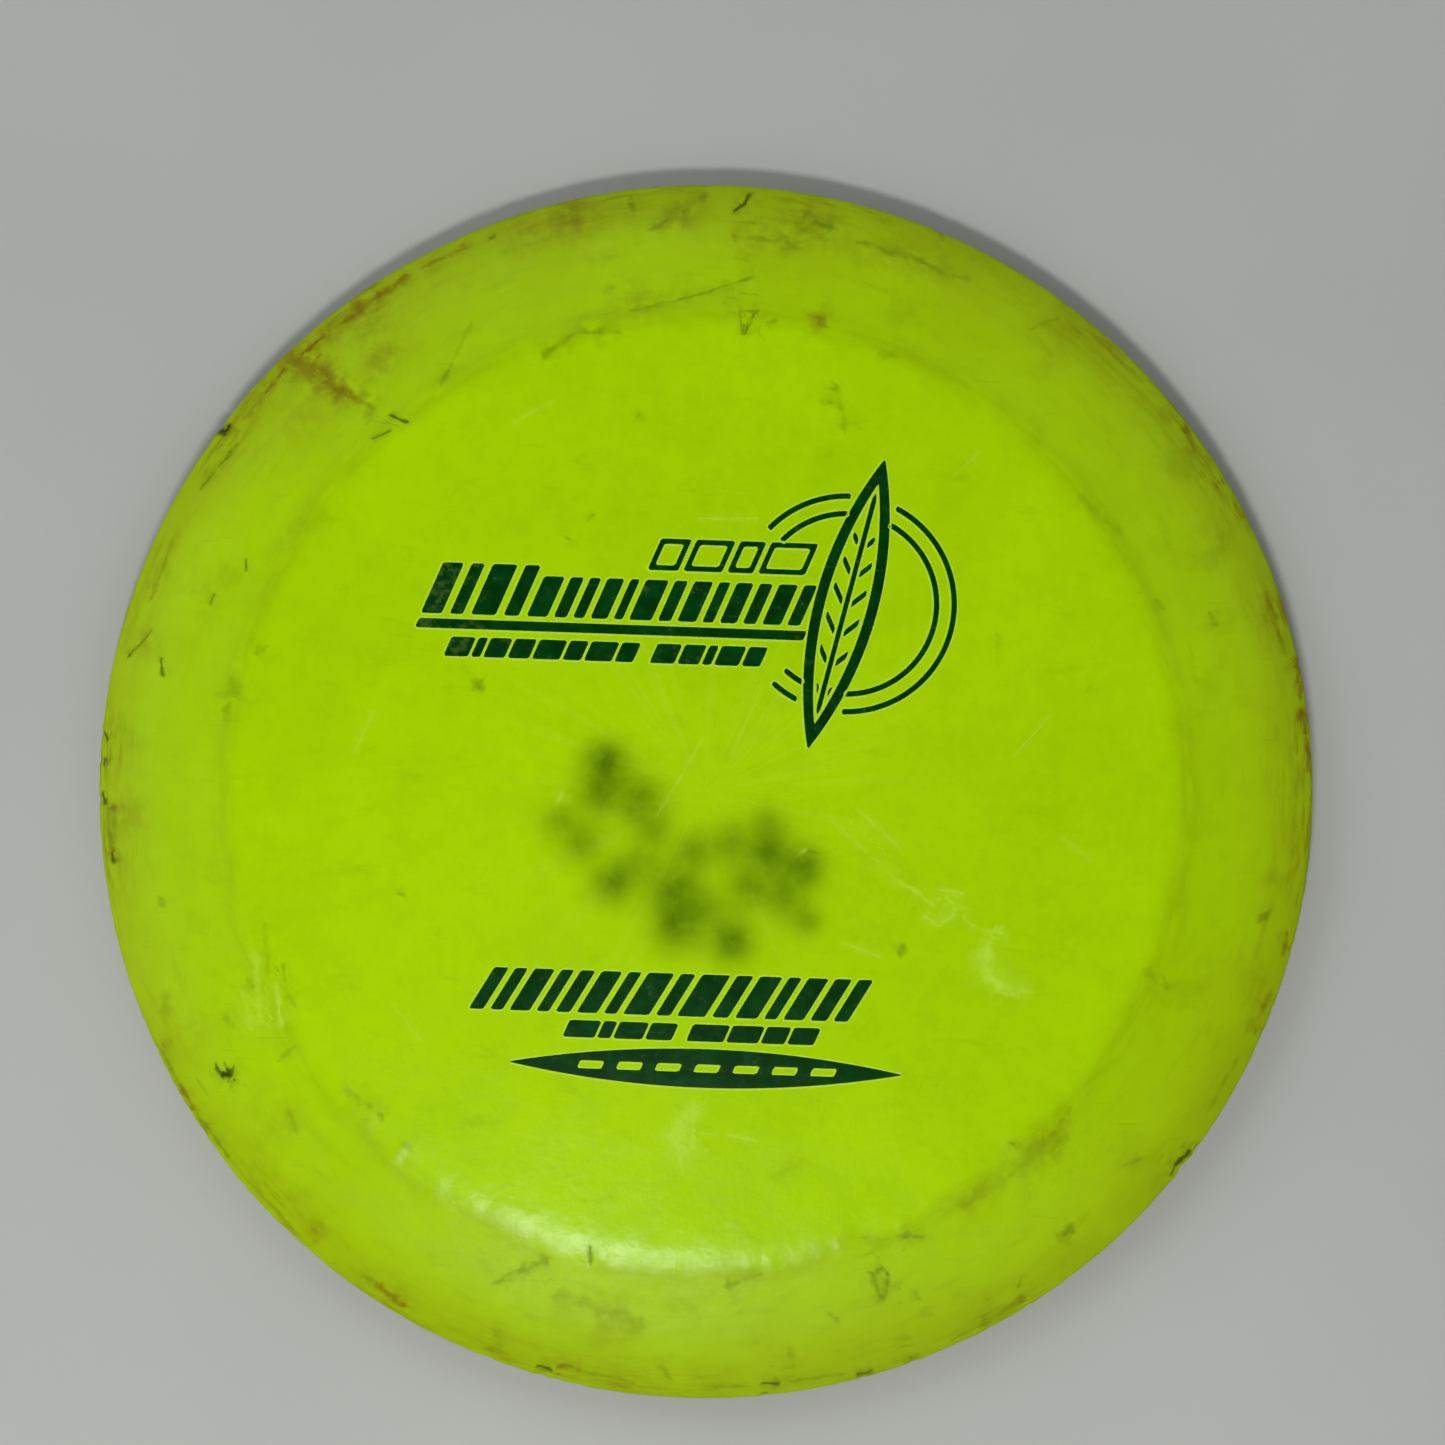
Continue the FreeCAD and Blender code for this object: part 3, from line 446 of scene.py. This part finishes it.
def foil_colour(place):
    """Deep green film, lighter where it thins, rubbed grey at the left ends and in fine scratches."""
    cloudy = place.noise(260, 4.0, 0.65).rise(0.35, 0.72)
    film = cloudy.blend(FOIL_GREEN, FOIL_LIGHT)
    x = place.add("ShaderNodeSeparateXYZ", None, {0: place}, 0)
    left_end = x.rise(-0.036, -0.047)
    patchy = place.noise(420, 4.0, 0.7)
    rubbed = (patchy + left_end * 0.16).rise(0.60, 0.74)
    specks = place.cells(900).rise(0.16, 0.06) * place.noise(150, 2.0, 0.5).rise(0.48, 0.60)
    scratches = place.stretch((60, 1500, 300), 0.9).noise(1, 2.0, 0.6).rise(0.68, 0.76)
    worn = (rubbed * 0.65).larger(specks * 0.5).larger(scratches * 0.35)
    return worn.blend(film, FOIL_WORN)


def foil_roughness(place):
    """Satin film, duller in patches where it is rubbed."""
    return place.noise(420, 4.0, 0.7).rise(0.45, 0.72) * 0.25 + 0.30


def foil_relief(place):
    """The film takes up the fine grain and the long waves of the plastic under it."""
    return place.noise(1300, 3.0, 0.6) + place.noise(200, 2.0, 0.5), 0.00002


# ================================================================ numpy helpers
def lattice_noise(x, y, size, seed):
    """Smooth noise from -1 to 1: random lattice values, size apart, blended by 3t^2 - 2t^3."""
    values = np.random.RandomState(seed).uniform(-1, 1, (64, 64))
    u, v = x / size, y / size
    i, j = np.floor(u).astype(int), np.floor(v).astype(int)
    s, t = u - i, v - j
    s, t = s * s * (3 - 2 * s), t * t * (3 - 2 * t)
    corner = [[values[(i + a) % 64, (j + b) % 64] for b in (0, 1)] for a in (0, 1)]
    low = corner[0][0] * (1 - t) + corner[0][1] * t
    high = corner[1][0] * (1 - t) + corner[1][1] * t
    return low * (1 - s) + high * s


def bump_at(distance, width):
    """A bell of height 1 at distance 0: exp(-(distance / width)^2)."""
    return np.exp(-((distance / width) ** 2))


def mesh_piece(name, points, faces, material, attributes=None):
    """A smooth mesh object at the origin, from points in millimetres and rows of corner numbers."""
    mesh = bpy.data.meshes.new(name)
    corners = np.concatenate([np.asarray(part, np.int32).ravel() for part in faces])
    sizes = np.concatenate([np.full(len(part), part.shape[1], np.int32) for part in faces])
    starts = np.concatenate([[0], np.cumsum(sizes)[:-1]]).astype(np.int32)
    mesh.vertices.add(len(points))
    mesh.vertices.foreach_set("co", (np.asarray(points) * MM).astype(np.float32).ravel())
    mesh.loops.add(len(corners))
    mesh.loops.foreach_set("vertex_index", corners)
    mesh.polygons.add(len(sizes))
    mesh.polygons.foreach_set("loop_start", starts)
    mesh.update(calc_edges=True)
    mesh.polygons.foreach_set("use_smooth", np.ones(len(sizes), bool))
    for key, values in (attributes or {}).items():
        mesh.attributes.new(key, "FLOAT", "POINT").data.foreach_set("value", values.astype(np.float32))
    mesh.validate()
    mesh.set_sharp_from_angle(angle=math.radians(40))
    mesh.materials.append(material)
    piece = bpy.data.objects.new(name, mesh)
    bpy.context.scene.collection.objects.link(piece)
    return piece


# ================================================================ the moulded disc
def arc_points(centre, radius, start, end, count):
    """Points of a circular arc: centre + radius * (cos a, sin a), a from start to end."""
    angle = np.linspace(start, end, count)
    return np.stack([centre[0] + radius * np.cos(angle), centre[1] + radius * np.sin(angle)], 1)


def rounded_corner(before, corner, after, radius, count):
    """The fillet arc at a corner, as the rational quadratic curve with weight cos(turn / 2)."""
    before, corner, after = (np.array(point, float) for point in (before, corner, after))
    back = (before - corner) / np.linalg.norm(before - corner)
    ahead = (after - corner) / np.linalg.norm(after - corner)
    half_turn = (math.pi - math.acos(float(back @ ahead))) / 2
    cut = radius * math.tan(half_turn)
    t = np.linspace(0, 1, count)[:, None]
    weight = 2 * t * (1 - t) * math.cos(half_turn)
    ends = (1 - t) ** 2 * (corner + back * cut) + t ** 2 * (corner + ahead * cut)
    return (ends + weight * corner) / ((1 - t) ** 2 + t ** 2 + weight)


def dome_height(r):
    """Height of the flight plate's top, a shallow sphere: disc height - R + sqrt(R^2 - r^2)."""
    return DISC_HEIGHT - DOME_CURVE + np.sqrt(DOME_CURVE ** 2 - r ** 2)


def under_height(r):
    """Height of the plate's underside: a shallow sphere, top - R + sqrt(R^2 - r^2), down to the wall."""
    rise = DISC_HEIGHT - PLATE_THICKNESS - RIM_DEPTH
    curve = (WALL_RADIUS ** 2 + rise ** 2) / (2 * rise)
    return DISC_HEIGHT - PLATE_THICKNESS - curve + np.sqrt(curve ** 2 - r ** 2)


def disc_profile():
    """Radius and height round the moulding's half section: top centre, nose, rim, wall, under centre."""
    edge = (PLATE_RADIUS, float(dome_height(PLATE_RADIUS)))
    wing_end = (WING_END, edge[1] - (WING_END - PLATE_RADIUS) * math.tan(WING_ANGLE))
    nose = (DISC_RADIUS - NOSE_ROUND, NOSE_HEIGHT)
    # the bend from the wing to the nose: one arc that touches the wing's end and the nose's circle
    out = np.array([math.sin(WING_ANGLE), math.cos(WING_ANGLE)])
    gap = np.array(wing_end) - nose
    bend = (gap @ gap - NOSE_ROUND ** 2) / (2 * (out @ gap - NOSE_ROUND))
    bend_centre = np.array(wing_end) - bend * out
    nose_top = math.atan2(nose[1] - bend_centre[1], nose[0] - bend_centre[0])
    # the under wing: the tangent from the land's edge to the nose's circle
    foot = np.array([LAND_OUTER, 0.0])
    reach = np.array(nose) - foot
    under_slope = math.atan2(reach[1], reach[0]) - math.asin(NOSE_ROUND / np.linalg.norm(reach))
    nose_low = under_slope - math.pi / 2
    tangent = np.array(nose) + NOSE_ROUND * np.array([math.cos(nose_low), math.sin(nose_low)])

    plate = np.arange(0.0, PLATE_RADIUS - 4.0, 1.3)
    before = (PLATE_RADIUS - 5, float(dome_height(PLATE_RADIUS - 5)))
    wall_foot, wall_top = (WALL_RADIUS, 0.0), (WALL_RADIUS, RIM_DEPTH)
    inward = (WALL_RADIUS - 4, float(under_height(WALL_RADIUS - 4)))
    ceiling = np.linspace(WALL_RADIUS - 3.5, GATE_RADIUS, 27)
    gate = np.linspace(GATE_RADIUS, 0.0, 6)
    gate_height = np.full_like(gate, DISC_HEIGHT - PLATE_THICKNESS - GATE_DEPTH)
    pieces = [
        np.stack([plate, dome_height(plate)], 1),
        rounded_corner(before, edge, wing_end, SHOULDER_ROUND, 10),
        np.linspace((PLATE_RADIUS + 3.8, edge[1] - 3.8 * math.tan(WING_ANGLE)), wing_end, 10)[:-1],
        arc_points(bend_centre, bend, math.pi / 2 - WING_ANGLE, nose_top, 11),
        arc_points(nose, NOSE_ROUND, nose_top, nose_low, 8)[1:],
        np.linspace(tangent, foot + (tangent - foot) * 0.09, 10)[1:],
        rounded_corner(tangent, foot, wall_foot, LAND_ROUND, 5),
        rounded_corner(foot, wall_foot, wall_top, GRIP_ROUND, 6),
        np.linspace((WALL_RADIUS, GRIP_ROUND), (WALL_RADIUS, RIM_DEPTH - CEILING_ROUND), 7)[1:-1],
        rounded_corner(wall_foot, wall_top, inward, CEILING_ROUND, 6),
        np.stack([ceiling, under_height(ceiling)], 1)[1:],
        np.stack([gate, gate_height], 1),
    ]
    return np.concatenate(pieces)


def turned_surface(profile, counts):
    """Turn a profile round the axis: its point (r, z) becomes the ring (r cos a, r sin a, z).

    Ring i has counts[i] points, as many as its neighbour or twice or half as many. The first and the
    last points lie on the axis and close the surface with fans."""
    starts = np.concatenate([[0], np.cumsum(counts)])
    points, triangles, quads = [], [], []
    for (r, z), count in zip(profile, counts):
        angle = np.arange(count) * TURN / count
        points.append(np.stack([r * np.cos(angle), r * np.sin(angle), np.full(count, z)], 1))
    for ring in range(len(profile) - 1):
        here, there = counts[ring], counts[ring + 1]
        a, b = starts[ring], starts[ring + 1]
        j = np.arange(max(1, min(here, there)))
        k = (j + 1) % len(j)
        if here == there:
            quads.append(np.stack([a + j, b + j, b + k, a + k], 1))
        elif here == 1:
            fan = np.arange(there)
            triangles.append(np.stack([np.full(there, a), b + fan, b + (fan + 1) % there], 1))
        elif there == 1:
            fan = np.arange(here)
            triangles.append(np.stack([a + fan, np.full(here, b), a + (fan + 1) % here], 1))
        elif there == 2 * here:
            two, three = 2 * j + 1, (2 * j + 2) % there
            triangles.append(np.stack([a + j, b + 2 * j, b + two], 1))
            triangles.append(np.stack([a + j, b + two, a + k], 1))
            triangles.append(np.stack([a + k, b + two, b + three], 1))
        else:
            two, three = 2 * j + 1, (2 * j + 2) % here
            triangles.append(np.stack([a + 2 * j, b + j, a + two], 1))
            triangles.append(np.stack([a + two, b + j, b + k], 1))
            triangles.append(np.stack([a + two, b + k, a + three], 1))
    faces = [np.concatenate(triangles), np.concatenate(quads)]
    return np.concatenate(points), faces


def ring_counts(profile, top_rings):
    """How many points each ring has: few near the axis, many on the wing and the nose."""
    r = profile[:, 0]
    top = np.arange(len(profile)) < top_rings
    counts = np.select([r < 8, r < 24, r < 79], [160, 320, 640], 1280)
    counts = np.where(~top, np.select([r < 8, r < 30], [80, 160], 320), counts)
    counts = np.where(~top & (r > 84), 640, counts)
    nose = np.argmax(r)
    counts[nose - 4:nose + 4] = 1280
    counts[0] = counts[-1] = 1
    return counts


def stroke_fields(x, y, scuffs, tone, spread, boost, fields):
    """Write each scuff into the fields of the points round it, where it is the nearest one so far.

    The fields are the signed distance across it in half widths, how strongly it is felt, which fades
    past its ends, its tone, and the distance to it. Half widths are multiplied by spread and strengths
    by boost, up to 1."""
    across, near, tones, best = fields
    for half_width, strength, *path in scuffs:
        half_width = half_width * spread
        strength = min(1.0, strength * boost)
        path = np.array(path, float)
        low, high = path.min(0) - 4, path.max(0) + 4
        here = np.flatnonzero((x > low[0]) & (x < high[0]) & (y > low[1]) & (y < high[1]))
        if not len(here):
            continue
        for start, end in zip(path[:-1], path[1:]):
            run = end - start
            length = np.hypot(*run)
            run = run / length
            dx, dy = x[here] - start[0], y[here] - start[1]
            along = dx * run[0] + dy * run[1]
            side = dx * run[1] - dy * run[0]
            past = np.maximum(0, np.maximum(-along, along - length))
            distance = np.hypot(side, past)
            closer = distance < best[here]
            won = here[closer]
            best[won] = distance[closer]
            taper = half_width * (0.75 + 0.25 * np.sin(along[closer] * 1.7 + half_width * 9))
            signed = np.where(side[closer] < 0, -1.0, 1.0) * distance[closer]
            beside = np.where(past[closer] > 0, signed, side[closer])
            across[won] = np.clip(beside / taper, -SCUFF_REACH, SCUFF_REACH)
            fade = 1.6 - past[closer] / half_width - np.abs(side[closer]) * 0.3
            near[won] = strength * np.clip(fade, 0, 1)
            tones[won] = tone


def blot_field(x, y, blots):
    """Soft round blots that add up: 1 - product of (1 - strength * bell)."""
    clear = np.ones_like(x)
    for bx, by, radius, strength in blots:
        clear *= 1 - strength * np.clip(bump_at(np.hypot(x - bx, y - by), radius), 0, 0.98)
    return 1 - clear


def plate_relief(x, y):
    """Height added to the moulded top: lattice noise times a bell, for each of its parts.

    Sink lumps lie everywhere, a ripple cos((r - 60) / 2.6) round the ring at 60, flow streaks run out
    from the centre and the shoulder at 81 is uneven."""
    r = np.hypot(x, y)
    angle = np.arctan2(y, x)
    lumps = 0.055 * lattice_noise(x + 300, y + 300, 17, 1) + 0.022 * lattice_noise(x + 300, y + 300, 6.5, 2)
    ripple = 0.030 * np.cos((r - 60) / 2.6) * bump_at(r - 60, 6)
    ripple *= 0.6 + 0.4 * lattice_noise(angle * 9 + 40, r * 0 + 7, 1.5, 3)
    streaks = 0.014 * lattice_noise(angle * 14 + 60, r / 30, 1.0, 4) * np.clip(r / 10, 0, 1) * bump_at(r, 48)
    shoulder = 0.060 * lattice_noise(angle * 20 + 90, r / 5, 1.0, 5) * bump_at(r - 81, 6)
    shoulder += 0.040 * lattice_noise(angle * 45 + 170, r / 3, 1.0, 9) * bump_at(r - 81, 5)
    return lumps + ripple + streaks + shoulder


def make_disc(material):
    """The moulding: a turned profile, each point moved along its normal by the relief there.

    The relief is the plate's, less a furrow along each scuff and a nick at each place in the nose, plus
    the burrs beside them and an uneven rim."""
    profile = disc_profile()
    nose_ring = int(np.argmax(profile[:, 0]))
    counts = ring_counts(profile, nose_ring + 4)
    points, faces = turned_surface(profile, counts)
    ring = np.repeat(np.arange(len(profile)), counts)
    slope = np.gradient(profile, axis=0)
    slope /= np.linalg.norm(slope, axis=1)[:, None]
    normal_r, normal_z = -slope[ring, 1], slope[ring, 0]
    x, y = points[:, 0].copy(), points[:, 1].copy()
    r = np.maximum(np.hypot(x, y), 1e-6)
    angle = np.arctan2(y, x)
    top = ring <= nose_ring

    across, near, tones = np.full_like(x, SCUFF_REACH), np.zeros_like(x), np.zeros_like(x)
    fields = (across, near, tones, np.full_like(x, np.inf))
    for scuffs, tone, spread, boost in SCUFF_KINDS:
        stroke_fields(x, y, scuffs, tone, spread, boost, fields)
    near *= top
    furrow = np.clip(1 - np.abs(across), 0, 1) * near

    relief = plate_relief(x, y) * top * np.clip((104 - r) / 8, 0, 1)
    gouged = tones > 0.9
    relief -= furrow * np.where(gouged, GOUGE_DEPTH, SCUFF_DEPTH)
    relief += GOUGE_LIP * bump_at(np.abs(across) - 1.5, 0.5) * near * gouged
    rim = np.clip((r - 97) / 6, 0, 1) * (np.abs(ring - nose_ring) < 22)
    relief += rim * (0.05 * lattice_noise(angle * 40 + 130, ring * 0.3, 1.0, 6)
                     + 0.03 * lattice_noise(angle * 120 + 190, ring * 0.7, 1.0, 7))
    notch = np.zeros_like(x)
    for degrees, half_width, depth in NOSE_NICKS:
        along = (np.mod(angle - math.radians(degrees) + math.pi, TURN) - math.pi) * DISC_RADIUS
        depth_in = bump_at(along, half_width) * np.clip((r - 101.5) / 3, 0, 1)
        notch = np.maximum(notch, depth_in)
        relief -= 0.5 * depth * depth_in * np.clip((r - 102) / 3, 0, 1)
        burr = bump_at(np.abs(along) - 1.9 * half_width, half_width * 0.6)
        relief += NICK_LIP * depth * burr * np.clip((r - 103) / 2, 0, 1)

    points[:, 0] += relief * normal_r * np.cos(angle)
    points[:, 1] += relief * normal_r * np.sin(angle)
    points[:, 2] += relief * normal_z

    edge = np.clip((r - 95) / 9, 0, 1) ** 2
    ragged = 1.3 * lattice_noise(angle * 12 + 40, r / 9, 1.0, 10)
    ragged += 0.7 * lattice_noise(x + 300, y + 300, 3, 11)
    step = np.clip((r + ragged - 78.2) / 5.2, 0, 1)
    # Painted light: the wear step is weakened round 193 degrees, which paints the wing's left side lighter,
    # as if more light fell there.
    painted_left_light = 0.6 * bump_at(np.mod(angle, TURN) - math.radians(193), 0.7)
    worn = 0.50 * (1 - painted_left_light) * step * step * (3 - 2 * step) + 0.50 * np.clip((r - 87) / 13, 0, 1)
    patches = np.clip(lattice_noise(angle * 9 + 40, r * 0.05, 1.0, 8) * 0.6 + 0.35, 0, 1)
    attributes = {
        "ink": blot_field(x, y, INK_BLOTS) * top,
        "stain": blot_field(x, y, BROWN_STAINS) * top,
        # Grime along the nose's edge, and the nicks darkened as painted shade.
        "grime": np.clip(edge * patches * 0.8 + notch * 0.7, 0, 1) * (np.abs(ring - nose_ring) < 30),
        "wear": worn * np.where(top, 1.0, 0.4),
        "scuff_across": across,
        "scuff_near": near,
        "scuff_tone": tones,
    }
    disc = mesh_piece("disc", points, faces, material, attributes)
    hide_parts("moulded_disc")
    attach(disc, "root")


# ================================================================ the stamp
def outline_loops(node):
    """The outlines of a foil node's top faces, each a closed run of points with the foil on its left."""
    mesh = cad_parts[node].data
    mesh.calc_loop_triangles()
    corners = np.zeros(len(mesh.loop_triangles) * 3, np.int32)
    mesh.loop_triangles.foreach_get("vertices", corners)
    points = np.zeros(len(mesh.vertices) * 3, np.float32)
    mesh.vertices.foreach_get("co", points)
    points = points.reshape(-1, 3) / MM
    corners = corners.reshape(-1, 3)
    sides = points[corners]
    normal = np.cross(sides[:, 1] - sides[:, 0], sides[:, 2] - sides[:, 0])
    normal /= np.maximum(np.linalg.norm(normal, axis=1), 1e-12)[:, None]
    upward = corners[normal[:, 2] > 0.5]
    keys, same = np.unique(np.round(points[:, :2], 3), axis=0, return_inverse=True)
    upward = same.ravel()[upward]
    edges = np.concatenate([upward[:, [0, 1]], upward[:, [1, 2]], upward[:, [2, 0]]])
    there = {(int(a), int(b)) for a, b in edges}
    following = {a: b for a, b in there if (b, a) not in there}
    loops = []
    while following:
        start, point = following.popitem()
        loop = [start]
        while point != start:
            loop.append(point)
            point = following.pop(point)
        loops.append(keys[loop])
    return loops


def soften(loop, radius, spacing):
    """Round each corner C, cut at P and Q, with (1-t)^2 P + 2t(1-t) C + t^2 Q, then space points evenly."""
    before, after = np.roll(loop, 1, 0) - loop, np.roll(loop, -1, 0) - loop
    back, ahead = np.linalg.norm(before, axis=1)[:, None], np.linalg.norm(after, axis=1)[:, None]
    cut = np.minimum(radius, 0.45 * np.minimum(back, ahead))
    first, last = loop + before / back * cut, loop + after / ahead * cut
    t = np.linspace(0, 1, 6)[None, :, None]
    curve = (1 - t) ** 2 * first[:, None] + 2 * t * (1 - t) * loop[:, None] + t ** 2 * last[:, None]
    ring = curve.reshape(-1, 2)
    ring = np.concatenate([ring, ring[:1]])
    reached = np.concatenate([[0], np.cumsum(np.linalg.norm(np.diff(ring, axis=0), axis=1))])
    stops = np.linspace(0, reached[-1], max(8, int(reached[-1] / spacing)), endpoint=False)
    return np.stack([np.interp(stops, reached, ring[:, k]) for k in (0, 1)], 1)


def inside(points, loops):
    """Even-odd test: a point is inside if a ray along +X crosses the loops an odd number of times."""
    crossings = np.zeros(len(points), int)
    for loop in loops:
        a, b = loop, np.roll(loop, -1, 0)
        y = points[:, 1][:, None]
        spans = (a[:, 1] > y) != (b[:, 1] > y)
        rise = np.where(np.abs(b[:, 1] - a[:, 1]) < 1e-9, 1e-9, b[:, 1] - a[:, 1])
        at = a[:, 0] + (y - a[:, 1]) / rise * (b[:, 0] - a[:, 0])
        crossings += (spans & (points[:, 0][:, None] < at)).sum(1)
    return crossings % 2 == 1


def top_height(x, y):
    """Height of the disc's moulded top at a place on the flight plate."""
    return dome_height(np.hypot(x, y)) + plate_relief(x, y)


def film_mesh(loops):
    """A thin closed film: triangles between its outlines, at the plate's height plus a set step.

    The top stands a hair proud, a little less at its edge. The bottom lies in the plate, and walls join
    the two."""
    rim = np.concatenate(loops)
    starts = np.cumsum([0] + [len(loop) for loop in loops])
    edges = []
    for start, loop in zip(starts, loops):
        step = np.arange(len(loop))
        edges += (np.stack([step, (step + 1) % len(loop)], 1) + start).tolist()
    low, high = rim.min(0), rim.max(0)
    grid = np.stack(np.meshgrid(*[np.arange(low[k], high[k], 1.1) for k in (0, 1)]), -1).reshape(-1, 2)
    grid = grid[inside(grid, loops)]
    if len(grid):
        clear = np.linalg.norm(grid[:, None] - rim[None], axis=2).min(1) > 0.3
        grid = grid[clear]
    flat = np.concatenate([rim, grid])
    made = delaunay_2d_cdt([Vector(point) for point in flat], edges, [], 0, 1e-5)
    flat = np.array([tuple(point) for point in made[0]])
    triangles = np.array([face for face in made[2] if len(face) == 3])
    triangles = triangles[inside(flat[triangles].mean(1), loops)]
    used, renumbered = np.unique(triangles, return_inverse=True)
    flat, triangles = flat[used], renumbered.reshape(-1, 3)
    on_rim = np.linalg.norm(flat[:, None] - rim[None], axis=2).min(1) < 1e-3
    height = top_height(flat[:, 0], flat[:, 1])
    top = np.column_stack([flat, height + np.where(on_rim, FILM_EDGE, FILM_PROUD)])
    bottom = np.column_stack([flat, height - FILM_BELOW])
    count = len(flat)
    sides = np.concatenate([triangles[:, [0, 1]], triangles[:, [1, 2]], triangles[:, [2, 0]]])
    there = set(map(tuple, sides.tolist()))
    open_sides = np.array([side for side in sides.tolist() if (side[1], side[0]) not in there])
    start, end = open_sides.T
    walls = np.stack([end, start, start + count, end + count], 1)
    return np.concatenate([top, bottom]), [np.concatenate([triangles, triangles[:, ::-1] + count]), walls]


def lip_mesh(loops):
    """The ridge pressed up round the foil: a low section carried along each outline.

    A section point (a, b) is placed at outline + a * outward normal, b above the plate."""
    section = np.array([(0.0, -FILM_BELOW), (0.05, 0.018), (0.17, 0.045), (0.32, 0.028), (0.42, -FILM_BELOW)])
    points, faces, start = [], [], 0
    for loop in loops:
        ahead = np.roll(loop, -1, 0) - np.roll(loop, 1, 0)
        ahead /= np.linalg.norm(ahead, axis=1)[:, None]
        outward = np.stack([ahead[:, 1], -ahead[:, 0]], 1)
        place = loop[:, None] + outward[:, None] * section[None, :, :1]
        height = top_height(place[..., 0], place[..., 1]) + section[None, :, 1]
        points.append(np.concatenate([place, height[..., None]], -1).reshape(-1, 3))
        count, width = len(loop), len(section)
        along, round_it = np.meshgrid(np.arange(count), np.arange(width), indexing="ij")
        next_along, next_round = (along + 1) % count, (round_it + 1) % width
        corners = [along * width + round_it, along * width + next_round,
                   next_along * width + next_round, next_along * width + round_it]
        faces.append(np.stack([corner.ravel() for corner in corners], 1) + start)
        start += count * width
    return np.concatenate(points), [np.concatenate(faces)]


def make_stamp(film, lip):
    """Each foil node's islands as a film that follows the plate, and the pressed-up lips round them."""
    lips = []
    for node in sorted(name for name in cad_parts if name.endswith("_foil")):
        loops = [soften(loop, 0.30, 0.55) for loop in outline_loops(node)]
        points, faces = film_mesh(loops)
        piece = mesh_piece(node.replace("_foil", "_film"), points, faces, film)
        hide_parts(node)
        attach(piece, "root")
        lips += loops
    ridge = mesh_piece("stamp_lip", *lip_mesh(lips), lip)
    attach(ridge, "root")


# ================================================================ floor, lights and camera
def make_floor():
    """A plain pale floor with the faintest tooth."""
    floor_paint = new_material(
        "pale_floor",
        lambda place: place.noise(9, 3.0, 0.5).rise(0.3, 0.7).blend(FLOOR_PALE, FLOOR_CLOUD),
        0.75,
        lambda place: (place.noise(700, 3.0, 0.6), 0.00004),
    )
    corners = np.array([(-1, -1), (1, -1), (1, 1), (-1, 1)]) * FLOOR_HALF
    corners = np.column_stack([corners, np.full(4, -FLOOR_DROP)])
    floor = mesh_piece("floor", corners, [np.array([[0, 1, 2, 3]])], floor_paint)


def soft_light(name, azimuth, tilt, distance, size, power, colour):
    """An area light in a direction round from +X and down from the vertical, aimed at the disc."""
    lamp = bpy.data.lights.new(name, "AREA")
    lamp.shape = "RECTANGLE"
    lamp.size, lamp.size_y = size
    lamp.energy = power
    lamp.color = colour
    holder = bpy.data.objects.new(name, lamp)
    a, t = math.radians(azimuth), math.radians(tilt)
    way = Vector((math.cos(a) * math.sin(t), math.sin(a) * math.sin(t), math.cos(t)))
    holder.location = way * distance
    holder.rotation_mode = "QUATERNION"
    holder.rotation_quaternion = way.to_track_quat("Z", "Y")
    bpy.context.scene.collection.objects.link(holder)


def make_lights():
    """A small window-like key high on the near side, broad fills from four sides and an even room."""
    soft_light("key_window", 261, 31, 0.95, (0.25, 0.12), 4.6, (1.0, 0.99, 0.97))
    soft_light("near_fill", 285, 58, 1.6, (1.6, 1.2), 4.5, (1.0, 0.99, 0.98))
    soft_light("left_fill", 182, 60, 1.6, (1.6, 1.2), 8.0, (0.97, 0.98, 1.0))
    soft_light("right_fill", 35, 60, 1.6, (1.6, 1.2), 5.0, (0.97, 0.98, 1.0))
    soft_light("far_fill", 115, 58, 1.6, (1.4, 1.0), 8.0, (0.97, 0.98, 1.0))
    world = bpy.data.worlds.new("even_room")
    world.use_nodes = True
    room = world.node_tree.nodes["Background"]
    room.inputs["Color"].default_value = (0.95, 0.98, 1.0, 1)
    room.inputs["Strength"].default_value = 0.055
    bpy.context.scene.world = world


def make_camera():
    """Straight down over the disc, turned with the stamp's slight tilt."""
    camera = bpy.data.cameras.new("overhead")
    camera.lens = EYE_LENS
    camera.clip_start = 0.01
    holder = bpy.data.objects.new("overhead", camera)
    holder.location = EYE
    holder.rotation_euler = (0, 0, STAMP_ROLL)
    bpy.context.scene.collection.objects.link(holder)
    bpy.context.scene.camera = holder


# ================================================================ making it
bpy.context.scene.view_settings.view_transform = "Standard"
lime = new_material("lime_urethane", lime_colour, lime_roughness, lime_relief, Specular_IOR_Level=0.09)
# The lip's paler colour is a painted highlight of its raised edge.
lip_highlight_plastic = new_material("pressed_lip_highlight", lip_highlight_colour, 0.38, Specular_IOR_Level=0.09)
film = new_material("green_film", foil_colour, foil_roughness, foil_relief, Specular_IOR_Level=0.07)
make_camera()
make_lights()
make_floor()
make_disc(lime)
make_stamp(film, lip_highlight_plastic)
